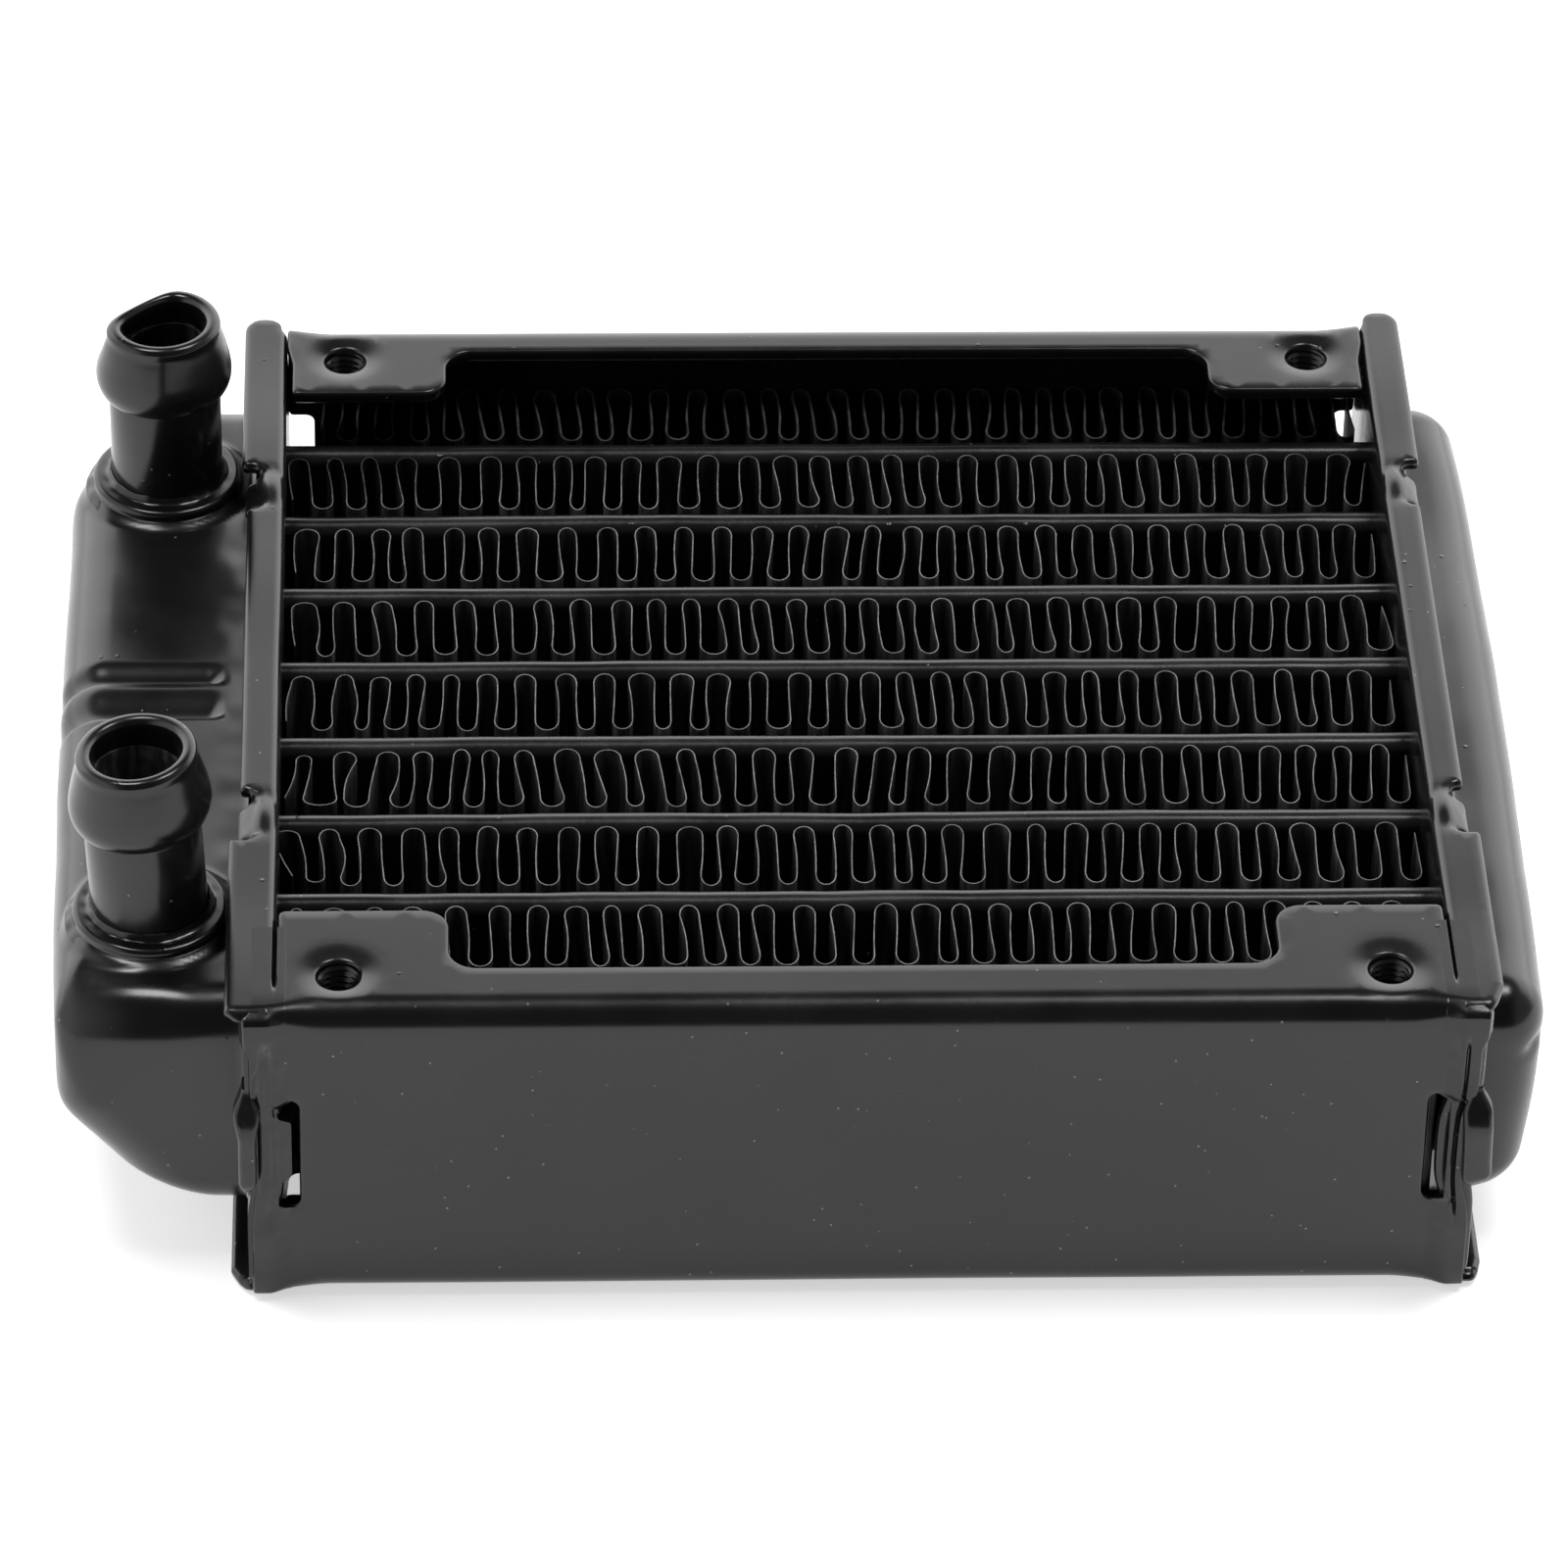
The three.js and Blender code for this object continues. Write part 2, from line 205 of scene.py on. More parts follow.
def skin(loops, seeds, clearance):
    """Points and triangles over the region inside the first loop and outside the others. The loops come first."""
    keep = inside(loops[0], seeds)
    for hole in loops[1:]:
        keep &= ~inside(hole, seeds)
    for loop in loops:
        gaps = [np.min(np.linalg.norm(loop - seed, axis=1)) for seed in seeds]
        keep &= np.array(gaps) > clearance
    points = np.vstack([*loops, seeds[keep]])
    edges, start = [], 0
    for loop in loops:
        edges += [(start + i, start + (i + 1) % len(loop)) for i in range(len(loop))]
        start += len(loop)
    found = delaunay_2d_cdt([Vector(p / MM) for p in points], edges, [], 0, 1e-7)
    source = [origin[0] for origin in found[3]]
    triangles = np.array([[source[i] for i in face] for face in found[2]])
    middles = points[triangles].mean(axis=1)
    keep = inside(loops[0], middles)
    for hole in loops[1:]:
        keep &= ~inside(hole, middles)
    return points, triangles[keep]


def edge_profile(thickness, rim, steps=3):
    """How far a cut edge stands out and how deep it is, from the outer face to the inner one."""
    angles = [math.pi / 2 * k / steps for k in range(1, steps + 1)]
    upper = [(rim * math.sin(a), rim * (1 - math.cos(a))) for a in angles]
    lower = [(out, thickness - depth) for out, depth in reversed(upper)]
    return upper + lower


def collar_rings(centre, count=48):
    """Rings of a threaded collar under a sheet, from the outer face's hole down the thread and up outside."""
    angles = -np.arange(count) * TURN / count
    spokes = np.column_stack((np.cos(angles), np.sin(angles)))
    rings = []

    def ring(radius, depth):
        rings.append(np.column_stack((np.array(centre) + spokes * np.reshape(radius, (-1, 1)),
                                      np.full(count, depth))))

    for share in (0.35, 0.7, 1.0):
        a = share * math.pi / 2
        ring(SCREW_RADIUS + RIM * (1 - math.sin(a)), RIM * (1 - math.cos(a)))
    threads = np.arange(RIM + 0.07 * MM, COLLAR_DEPTH - 0.2 * MM, SCREW_PITCH / 8)
    for depth in threads:
        phase = (depth / SCREW_PITCH + angles / TURN) % 1
        crest = np.abs(2 * phase - 1)
        fade = smoothstep(RIM, RIM + 0.4 * MM, depth)
        ring(SCREW_RADIUS - 0.24 * MM * crest * fade, depth)
    ring(SCREW_RADIUS, COLLAR_DEPTH - 0.15 * MM)
    ring(SCREW_RADIUS + 0.15 * MM, COLLAR_DEPTH)
    ring(COLLAR_RADIUS - 0.2 * MM, COLLAR_DEPTH)
    ring(COLLAR_RADIUS, COLLAR_DEPTH - 0.2 * MM)
    ring(COLLAR_RADIUS, SHEET + 0.35 * MM)
    ring(COLLAR_RADIUS + 0.1 * MM, SHEET + 0.1 * MM)
    return rings


def sheet(loop, seeds, place, thickness=SHEET, rim=RIM, collars=()):
    """Points and faces of a closed sheet with rounded edges. place(u, v, w) folds it, w being the depth."""
    collars = list(collars)
    face_loop = loop - outward(loop) * rim
    upper_loops = [face_loop] + [circle(c, SCREW_RADIUS + rim) for c in collars]
    lower_loops = [face_loop] + [circle(c, COLLAR_RADIUS + 0.35 * MM) for c in collars]
    clearance = 0.3 * MM
    upper, upper_faces = skin(upper_loops, seeds, clearance)
    lower, lower_faces = skin(lower_loops, seeds, clearance)
    points = [np.column_stack((upper, np.zeros(len(upper)))),
              np.column_stack((lower, np.full(len(lower), thickness)))]
    faces = [tuple(f) for f in upper_faces] + [tuple(f + len(upper)) for f in lower_faces]
    total = len(upper) + len(lower)
    upper_start, lower_start = 0, len(upper)
    for number, upper_loop in enumerate(upper_loops):
        count = len(upper_loop)
        if number:
            rings = collar_rings(collars[number - 1])
        else:
            away = outward(loop)
            rings = [np.column_stack((face_loop + away * out, np.full(count, depth)))
                     for out, depth in edge_profile(thickness, rim)]
        row = list(range(upper_start, upper_start + count))
        for ring in rings:
            after = list(range(total, total + count))
            points.append(ring)
            faces += bridge(row, after)
            row, total = after, total + count
        faces += bridge(row, list(range(lower_start, lower_start + count)))
        upper_start += count
        lower_start += count
    blank = np.vstack(points)
    return place(blank[:, 0], blank[:, 1], blank[:, 2]), faces


def seeds_over(us, vs):
    u, v = np.meshgrid(us, vs)
    return np.column_stack((u.ravel(), v.ravel()))


def folded(start, stretches, v, w):
    """(reach, z) of a sheet that sets out along +reach and folds downwards. A stretch is (length, bend
    radius), straight where the radius is 0. v runs along the outer face, and w is the depth below it."""
    position, heading, done = np.array(start), 0.0, 0.0
    out = np.zeros((len(v), 2))
    for number, (length, radius) in enumerate(stretches):
        last = number == len(stretches) - 1
        here = (v >= done if number else v > -1) & ((v < done + length) | last)
        along = v[here] - done
        if radius:
            turned = heading - along / radius
            inward = np.array((math.sin(heading), -math.cos(heading)))
            centre = position + radius * inward
            arm = np.maximum(radius - w[here], 0.05 * MM)[:, None]
            out[here] = centre - arm * np.column_stack((np.sin(turned), -np.cos(turned)))
            heading -= length / radius
            position = centre - radius * np.array((math.sin(heading), -math.cos(heading)))
        else:
            ahead = np.array((math.cos(heading), math.sin(heading)))
            inward = np.array((math.sin(heading), -math.cos(heading)))
            out[here] = position + along[:, None] * ahead + w[here][:, None] * inward
            position = position + length * ahead
        done += length
    return out


# ---- materials -------------------------------------------------------------------------------------------------


def shader(name):
    material = bpy.data.materials.new(name)
    material.use_nodes = True
    nodes, links = material.node_tree.nodes, material.node_tree.links
    return material, nodes, links, nodes["Principled BSDF"]


def noise(nodes, links, scale, detail, position):
    texture = nodes.new("ShaderNodeTexNoise")
    texture.inputs["Scale"].default_value = scale
    texture.inputs["Detail"].default_value = detail
    links.new(position, texture.inputs["Vector"])
    return texture.outputs["Fac"]


def spread(nodes, links, value, low, high, to_low, to_high):
    """Maps a value from low..high to to_low..to_high."""
    node = nodes.new("ShaderNodeMapRange")
    for socket, number in (("From Min", low), ("From Max", high), ("To Min", to_low), ("To Max", to_high)):
        node.inputs[socket].default_value = number
    links.new(value, node.inputs["Value"])
    return node.outputs["Result"]


def combine(nodes, links, operation, first, second):
    node = nodes.new("ShaderNodeMath")
    node.operation = operation
    for socket, value in zip(node.inputs, (first, second)):
        if isinstance(value, (int, float)):
            socket.default_value = value
        else:
            links.new(value, socket)
    return node.outputs["Value"]


def paint(name, dark, light, rough_low, rough_high, speck=0.5, peel=0.05):
    """Sprayed satin black: slow changes of gloss, a fine peel, and dust specks under the paint."""
    material, nodes, links, surface = shader(name)
    position = nodes.new("ShaderNodeTexCoord").outputs["Object"]
    clouds = noise(nodes, links, 160, 4, position)
    grain = noise(nodes, links, 2600, 3, position)
    cells = nodes.new("ShaderNodeTexVoronoi")
    cells.inputs["Scale"].default_value = 700
    cells.inputs["Randomness"].default_value = 1
    links.new(position, cells.inputs["Vector"])
    fleck = spread(nodes, links, cells.outputs["Distance"], 0.07, 0.035, 0, 0.2)
    fleck = combine(nodes, links, "MULTIPLY", fleck,
                    combine(nodes, links, "GREATER_THAN", cells.outputs["Color"], 0.58))
    shade = combine(nodes, links, "MAXIMUM", spread(nodes, links, clouds, 0.3, 0.72, dark, light), fleck)
    colour = nodes.new("ShaderNodeCombineColor")
    for socket in colour.inputs[:3]:
        links.new(shade, socket)
    links.new(colour.outputs["Color"], surface.inputs["Base Color"])
    uneven = combine(nodes, links, "ADD", combine(nodes, links, "MULTIPLY", clouds, 0.7),
                     combine(nodes, links, "MULTIPLY", grain, 0.3))
    rough = spread(nodes, links, uneven, 0.35, 0.65, rough_low, rough_high)
    links.new(rough, surface.inputs["Roughness"])
    dust = spread(nodes, links, cells.outputs["Distance"], 0.14, 0.04, 0, speck)
    rare = combine(nodes, links, "GREATER_THAN", cells.outputs["Color"], 0.8)
    bumps = combine(nodes, links, "MULTIPLY", dust, rare)
    orange_peel = combine(nodes, links, "MULTIPLY", noise(nodes, links, 900, 2, position), peel)
    height = combine(nodes, links, "ADD", combine(nodes, links, "ADD", bumps, orange_peel),
                     combine(nodes, links, "MULTIPLY", grain, peel * 0.35))
    bump = nodes.new("ShaderNodeBump")
    bump.inputs["Distance"].default_value = 0.06 * MM
    bump.inputs["Strength"].default_value = 1.0
    links.new(height, bump.inputs["Height"])
    links.new(bump.outputs["Normal"], surface.inputs["Normal"])
    surface.inputs["IOR"].default_value = 1.5
    surface.inputs["Specular IOR Level"].default_value = 0.5
    return material


def thin_paint(name, wall, edge):
    """Paint that is pale on a strip's cut edges, which face up and down, and dark on its walls. The pale
    edges are partly thin paint and partly a painted highlight. The whole shade is darker towards the rear,
    most of all on the left."""
    material, nodes, links, surface = shader(name)
    position = nodes.new("ShaderNodeTexCoord").outputs["Object"]
    places = nodes.new("ShaderNodeSeparateXYZ")
    links.new(position, places.inputs[0])
    # Darker towards the rear, most of all on the left: this multiplies the whole shade.
    corner = combine(nodes, links, "SUBTRACT", places.outputs[1],
                     combine(nodes, links, "MULTIPLY", places.outputs[0], 0.08))
    rear_darkening = spread(nodes, links, corner, 26.5 * MM, 32 * MM, 1.0, 0.3)
    axes = nodes.new("ShaderNodeSeparateXYZ")
    links.new(nodes.new("ShaderNodeNewGeometry").outputs["Normal"], axes.inputs[0])
    upright = combine(nodes, links, "ABSOLUTE", axes.outputs[2], 0)
    cover = spread(nodes, links, noise(nodes, links, 700, 3, position), 0.4, 0.6, 0.35, 1)
    # Faces that look up or down are paler: partly thin paint, partly a painted highlight on the cut edges.
    pale_edge_and_highlight = combine(nodes, links, "MULTIPLY", spread(nodes, links, upright, 0.6, 0.9, 0, 1), cover)
    streaks = nodes.new("ShaderNodeMapping")
    streaks.inputs["Scale"].default_value = (1, 1, 0.12)
    links.new(position, streaks.inputs["Vector"])
    mottle = spread(nodes, links, noise(nodes, links, 1500, 3, streaks.outputs["Vector"]), 0.4, 0.65, 0.35, 1.6)
    shade = combine(nodes, links, "ADD", combine(nodes, links, "MULTIPLY", mottle, wall),
                    combine(nodes, links, "MULTIPLY", pale_edge_and_highlight, edge))
    shade = combine(nodes, links, "MULTIPLY", shade, rear_darkening)
    colour = nodes.new("ShaderNodeCombineColor")
    for socket in colour.inputs[:3]:
        links.new(shade, socket)
    links.new(colour.outputs["Color"], surface.inputs["Base Color"])
    surface.inputs["Roughness"].default_value = 0.42
    return material


def bare_metal(name):
    """Raw rolled aluminium, for what no paint reached."""
    material, nodes, links, surface = shader(name)
    position = nodes.new("ShaderNodeTexCoord").outputs["Object"]
    stretch = nodes.new("ShaderNodeMapping")
    stretch.inputs["Scale"].default_value = (1, 12, 12)
    links.new(position, stretch.inputs["Vector"])
    lines = noise(nodes, links, 300, 5, stretch.outputs["Vector"])
    ramp = nodes.new("ShaderNodeValToRGB")
    ramp.color_ramp.elements[0].color = (0.33, 0.33, 0.34, 1)
    ramp.color_ramp.elements[1].color = (0.62, 0.63, 0.64, 1)
    links.new(lines, ramp.inputs["Fac"])
    links.new(ramp.outputs["Color"], surface.inputs["Base Color"])
    links.new(spread(nodes, links, lines, 0.3, 0.7, 0.32, 0.55), surface.inputs["Roughness"])
    surface.inputs["Metallic"].default_value = 1
    return material


frame_paint = paint("frame_paint", 0.004, 0.007, 0.2, 0.28)
tank_paint = paint("tank_paint", 0.004, 0.007, 0.18, 0.26, speck=0.8)
barb_paint = paint("barb_paint", 0.004, 0.006, 0.17, 0.24, speck=0.3, peel=0.03)
tube_paint = paint("tube_paint", 0.005, 0.012, 0.2, 0.32, speck=0.6)
fin_paint = thin_paint("fin_paint", 0.05, 0.16)
bore_paint = thin_paint("bore_paint", 0.09, 0.0)
bare_aluminium = bare_metal("bare_aluminium")


# ---- stage -----------------------------------------------------------------------------------------------------


def camera():
    """The photograph's view: a long lens that looks down on the front of the radiator."""
    pitch, yaw, roll = (math.radians(a) for a in (38.345, 2.798, 1.416))
    distance = 0.6214
    target = Vector((0.00015, 0.0005, TOP / 2))
    data = bpy.data.cameras.new("camera")
    data.lens = 198.06
    data.sensor_width = 36
    data.clip_start, data.clip_end = 0.02, 20
    made = bpy.data.objects.new("camera", data)
    ahead = Vector((math.sin(yaw) * math.cos(pitch), math.cos(yaw) * math.cos(pitch), -math.sin(pitch)))
    turn = ahead.to_track_quat("-Z", "Y").to_matrix() @ Matrix.Rotation(roll, 3, "Z")
    made.matrix_world = Matrix.LocRotScale(target - ahead * distance, turn.to_quaternion(), None)
    bpy.context.scene.collection.objects.link(made)
    bpy.context.scene.camera = made


def softbox(name, place, size, power):
    """A square area light that looks at the radiator."""
    data = bpy.data.lights.new(name, "AREA")
    data.shape = "RECTANGLE"
    data.size, data.size_y = size
    data.energy = power
    made = bpy.data.objects.new(name, data)
    made.location = place
    made.rotation_euler = (-Vector(place)).to_track_quat("-Z", "Y").to_euler()
    bpy.context.scene.collection.objects.link(made)


def smooth_spread(nodes, links, value, low, high, to_low, to_high):
    mapped = spread(nodes, links, value, low, high, to_low, to_high)
    mapped.node.interpolation_type = "SMOOTHSTEP"
    return mapped


def studio():
    """A cove lit low at the back and softly at the sides, dark overhead but for two softboxes."""
    world = bpy.data.worlds.new("studio")
    world.use_nodes = True
    nodes, links = world.node_tree.nodes, world.node_tree.links
    background = nodes["Background"]
    axes = nodes.new("ShaderNodeSeparateXYZ")
    links.new(nodes.new("ShaderNodeTexCoord").outputs["Generated"], axes.inputs[0])
    across, ahead, height = axes.outputs
    low = smooth_spread(nodes, links, height, 0.54, 0.73, 2.5, 0.0)
    behind = smooth_spread(nodes, links, ahead, 0.0, 0.5, 0.0, 1.0)
    left = smooth_spread(nodes, links, across, -0.45, -0.8, 0.0, 1.15)
    right = smooth_spread(nodes, links, across, 0.45, 0.8, 0.0, 0.3)
    cove = combine(nodes, links, "MULTIPLY", low, behind)
    strength = combine(nodes, links, "MAXIMUM", cove, combine(nodes, links, "MAXIMUM", left, right))
    links.new(combine(nodes, links, "ADD", strength, 0.06), background.inputs["Strength"])
    background.inputs["Color"].default_value = (1, 1, 1, 1)
    bpy.context.scene.world = world
    softbox("left_softbox", (-0.3, 0.05, 1.0), (0.26, 0.3), 3.2)
    softbox("right_softbox", (0.3, 0.05, 1.0), (0.26, 0.3), 3.2)

    floor = bpy.data.meshes.new("floor")
    reach = 3.0
    floor.from_pydata([(-reach, -reach, 0), (reach, -reach, 0), (reach, reach, 0), (-reach, reach, 0)], [],
                      [(0, 1, 2, 3)])
    material, nodes, links, surface = shader("floor_white")
    surface.inputs["Base Color"].default_value = (0.9, 0.9, 0.9, 1)
    surface.inputs["Roughness"].default_value = 0.7
    surface.inputs["Emission Color"].default_value = (1, 1, 1, 1)
    surface.inputs["Emission Strength"].default_value = 0.55
    floor.materials.append(material)
    made = bpy.data.objects.new("floor", floor)
    made.location.z = -0.05 * MM
    bpy.context.scene.collection.objects.link(made)
    bpy.context.scene.view_settings.view_transform = "Standard"


camera()
studio()


# ---- side plates -----------------------------------------------------------------------------------------------


def sharpening(reach):
    """How much smaller a side plate's bends are near its ends, where they meet the headers."""
    return (PLATE_BEND - HEADER_END_BEND) * smoothstep(36.6 * MM, 41.2 * MM, reach)


def side_plate(node, side, ear_y, ear_depth, gap, short, left_notch):
    """A channel: an eared flange, the web and a second eared flange. side is 1 at the rear, -1 in front. gap
    parts the ears from the headers, short is how much less the lower ears reach in, and left_notch is how far
    the notch in the web's left end is cut in."""
    flange = FACE_Y - PLATE_BEND - ear_y
    bend = PLATE_BEND * math.pi / 2
    web = TOP - 2 * PLATE_BEND
    stretches = [(flange, 0), (bend, PLATE_BEND), (web, 0), (bend, PLATE_BEND), (flange, 0)]
    length = 2 * flange + 2 * bend + web
    ear = HALF_X - EAR_LENGTH
    notch_high = flange + bend + (TOP - PLATE_BEND - NOTCH_HIGH)
    notch_low = flange + bend + (TOP - PLATE_BEND - NOTCH_LOW)
    end = HALF_X
    free = end - gap
    foot = length - short

    def half(notch):
        """The right half's corners, from the upper flange down to the lower one."""
        return [
            (ear, ear_depth, EAR_CORNER), (ear, 0, EAR_CORNER),
            (free, 0, 0.5 * MM), (free, flange * 0.55, 2 * MM), (end, flange * 0.8, 2 * MM),
            (end, notch_high, 0.3 * MM), (end - notch, notch_high, 0.6 * MM),
            (end - notch, notch_low, 0.6 * MM), (end, notch_low, 0.3 * MM),
            (end, length - flange * 0.8, 2 * MM), (free, length - flange * 0.55, 2 * MM),
            (free, foot, 0.5 * MM), (ear, foot, EAR_CORNER), (ear, length - ear_depth, EAR_CORNER),
        ]

    left = [(-u, v, r) for u, v, r in reversed(half(left_notch))]
    loop = outline(half(NOTCH_LENGTH) + left)
    hole_v = FAN_PITCH / 2 - ear_y
    holes = [(u, v) for v in (hole_v, length - hole_v) for u in (-FAN_PITCH / 2, FAN_PITCH / 2)]
    vs = np.concatenate([
        np.arange(0.5 * MM, flange, 0.6 * MM),
        flange + np.linspace(0, bend, 11),
        np.arange(flange + bend + 0.6 * MM, flange + bend + web, 0.9 * MM),
        flange + bend + web + np.linspace(0, bend, 11),
        np.arange(length - flange + 0.5 * MM, length, 0.6 * MM),
    ])
    seeds = [seeds_over(np.arange(-end, end, 0.8 * MM), vs)]
    near_holes = [np.linalg.norm(seeds[0] - np.array(h), axis=1) for h in holes]
    seeds[0] = seeds[0][np.min(near_holes, axis=0) > 3.6 * MM]
    for hole in holes:
        for radius in np.arange(2.0, 3.5, 0.3) * MM:
            seeds.append(circle(hole, radius, 40))
    seeds = np.vstack(seeds)

    def place(u, v, w):
        dip = np.zeros(len(u))
        for centre in holes:
            away = np.hypot(u - centre[0], v - centre[1])
            dip += 0.24 * MM * np.exp(-((np.maximum(away - SCREW_RADIUS, 0) / (0.9 * MM)) ** 2))
        sway = waves(np.column_stack((u, v, 0 * u)), 26 * MM, 5 + side) * 0.03 * MM
        reach, z = folded((ear_y, TOP), stretches, v, w + dip + sway).T
        from_edge = np.minimum(v, length - v)
        angle = np.clip((flange + bend - from_edge) / PLATE_BEND, 0, math.pi / 2)
        less = sharpening(np.abs(u))
        on_flange = smoothstep(flange - 4 * MM, flange, from_edge)
        on_web = smoothstep(flange + bend + 4 * MM, flange + bend, from_edge)
        reach += less * (1 - np.cos(angle)) * on_flange
        z += less * (1 - np.sin(angle)) * on_web * np.where(v < length / 2, 1, -1)
        return np.column_stack((CORE_X + u, side * reach, z))

    points, faces = sheet(loop, seeds, place, collars=holes)
    return piece(node + "_pressed", points, faces, frame_paint, [node])


side_plate("front_side_plate", -1, FRONT_EAR_Y, FRONT_EAR_DEPTH, 0.15 * MM, 1.5 * MM, NOTCH_LENGTH)
side_plate("rear_side_plate", 1, REAR_EAR_Y, REAR_EAR_DEPTH, 0.4 * MM, 0.0, NOTCH_LENGTH + 0.35 * MM)


# ---- headers ---------------------------------------------------------------------------------------------------


def staked_edge(reaches, tabs, notch, rim_x):
    """Corners (y, v, radius) along one rim of a header, from the rear to the front. A pair of notches frees
    each tab. reaches are the rim's reach behind, between and in front of the tabs."""
    corners = []
    half = 0.42 * MM
    for number, (rear, front) in enumerate(tabs):
        before, after = rim_x - reaches[number], rim_x - reaches[number + 1]
        deep = rim_x - notch
        tip = rim_x - notch - 1.0 * MM
        corners += [
            (rear + half, before, 0.35 * MM), (rear + half, deep, half * 0.98), (rear - half, deep, half * 0.98),
            (rear - half, tip, 0.4 * MM), (front + half, tip, 0.4 * MM), (front + half, deep, half * 0.98),
            (front - half, deep, half * 0.98), (front - half, after, 0.35 * MM),
        ]
    return corners


def header(node, side, reaches, tabs, notch, front_corner, foot_corner, rear_end, joint_jog):
    """A tray's floor with a rim folded outwards along the top and another along the bottom. The front end of
    each rim is bent round the front side plate's bend. joint_jog is how far the joint with the brim gives way
    to the clinch tab."""
    rim = HEADER_RIM_X - HALF_X - HEADER_BEND
    bend = HEADER_BEND * math.pi / 2
    floor = TOP - 2 * HEADER_BEND
    stretches = [(rim, 0), (bend, HEADER_BEND), (floor, 0), (bend, HEADER_BEND), (rim, 0)]
    length = 2 * rim + 2 * bend + floor
    rear_v = HEADER_RIM_X - reaches[0]
    front_v = HEADER_RIM_X - reaches[-1]
    knob = 1.45 * MM
    staked = [(rear_end, rear_v, knob)] + staked_edge(reaches, tabs, notch, HEADER_RIM_X)
    front_y = -HEADER_END_Y - 0.05 * MM
    floor_y = -FACE_Y + 0.05 * MM

    def front(corner):
        """The cut front corner of a rim, from its edge to the floor."""
        return [(corner[1], front_v, 0.4 * MM), (front_y, corner[0], 0.5 * MM),
                (floor_y, rim + bend + 0.8 * MM, 0.8 * MM)]

    top = staked + front(front_corner)
    bottom = [(u, length - v, r) for u, v, r in reversed(staked + front(foot_corner))]
    shoulder = rear_v + 2.95 * MM
    neck = rear_end - 1.5 * MM
    end = [(HEADER_END_Y, rim + bend + 3.6 * MM, 1 * MM), (neck, rim + bend + 1.6 * MM, 1 * MM),
           (neck, shoulder, 0.1 * MM), (rear_end, shoulder, knob)]
    corners = top + bottom + [(u, length - v, r) for u, v, r in reversed(end)] + end
    loop = outline(corners[::-1], 0.3 * MM)
    vs = np.concatenate([
        np.arange(-0.9 * MM, rim, 0.28 * MM), rim + np.linspace(0, bend, 8),
        np.arange(rim + bend + 0.6 * MM, rim + bend + floor, 1.0 * MM),
        length - rim - np.linspace(0, bend, 8), length - np.arange(-0.9 * MM, rim, 0.28 * MM),
    ])
    us = np.concatenate((np.arange(-HEADER_END_Y - 0.1 * MM, -HEADER_END_Y + 1.6 * MM, 0.2 * MM),
                         np.arange(-HEADER_END_Y + 1.8 * MM, HEADER_END_Y + 0.8 * MM, 0.45 * MM)))
    seeds = seeds_over(us, vs)

    def place(u, v, w):
        from_edge = np.minimum(v, length - v)
        on_rim = smoothstep(rim + bend, rim, from_edge)
        drop = np.zeros(len(u))
        for rear_cut, front_cut in tabs:
            within = (u < rear_cut) & (u > front_cut)
            reach = HEADER_RIM_X - from_edge
            drop += within * 1.15 * MM * smoothstep(40.9 * MM, 43.0 * MM, reach) ** 1.3
            fold = np.hypot((u - (rear_cut + front_cut) / 2) / (1.3 * MM), (reach - 41.2 * MM) / (0.8 * MM))
            lump = 0.2 * MM * np.exp(-(fold ** 2)) - 0.06 * MM * np.exp(-((fold - 1.6) / 0.4) ** 2)
            drop -= lump * (v < length / 2)
        sway = waves(np.column_stack((u, v, 0 * u)), 14 * MM, 31 + side) * 0.05 * MM
        curl = 1.6 * MM
        past = np.maximum(u - (rear_end - 0.5 * MM), 0)
        drop += curl * (1 - np.cos(past / curl)) * on_rim
        end_bend = HEADER_END_BEND
        start = FACE_Y + 0.1 * MM - end_bend
        angle = np.maximum(-u - start, 0) / end_bend
        bent = angle > 0
        arm = end_bend - w - drop - sway
        depth = np.where(bent, end_bend - arm * np.cos(angle), w + drop + sway)
        depth = depth * on_rim + (w + drop + sway) * (1 - on_rim)
        y = np.where(bent, -start - arm * np.sin(angle), u) * on_rim + u * (1 - on_rim)
        jog = joint_jog * smoothstep(-36 * MM, -40 * MM, u)
        reach, z = folded((-HEADER_RIM_X, TOP), stretches, v, depth).T
        reach += jog * clinch_height(z) * (1 - on_rim)
        return np.column_stack((CORE_X - side * reach, y, z))

    points, faces = sheet(loop, seeds, place, rim=0.42 * MM)
    for added, added_faces in (clinch_tab(side), braze_skin(side, joint_jog)):
        faces = faces + [tuple(i + len(points) for i in face) for face in added_faces]
        points = np.vstack((points, added))
    return piece(node + "_pressed", points, faces, frame_paint, [node])


def clinch_height(z):
    """1 beside the clinch tab, and 0 well above and below it."""
    return np.exp(-(((z - 12.6 * MM) / (4.4 * MM)) ** 4))


def loft(rings):
    """Points and faces of a solid through closed rings of equal length, with its two ends capped."""
    count = len(rings[0])
    faces = grid_faces(len(rings), count, wrap_columns=True)
    last = (len(rings) - 1) * count
    return np.vstack(rings), faces + [tuple(range(count)), tuple(range(last + count - 1, last - 1, -1))]


def rounded_box_ring(half_u, half_v, radius, steps=5):
    """A loop round a rectangle centred on zero, with round corners."""
    loop = []
    for number, (su, sv) in enumerate(((1, 1), (-1, 1), (-1, -1), (1, -1))):
        for angle in np.linspace(0, math.pi / 2, steps) + number * math.pi / 2:
            loop.append((su * (half_u - radius) + radius * math.cos(angle),
                         sv * (half_v - radius) + radius * math.sin(angle)))
    return np.array(loop)


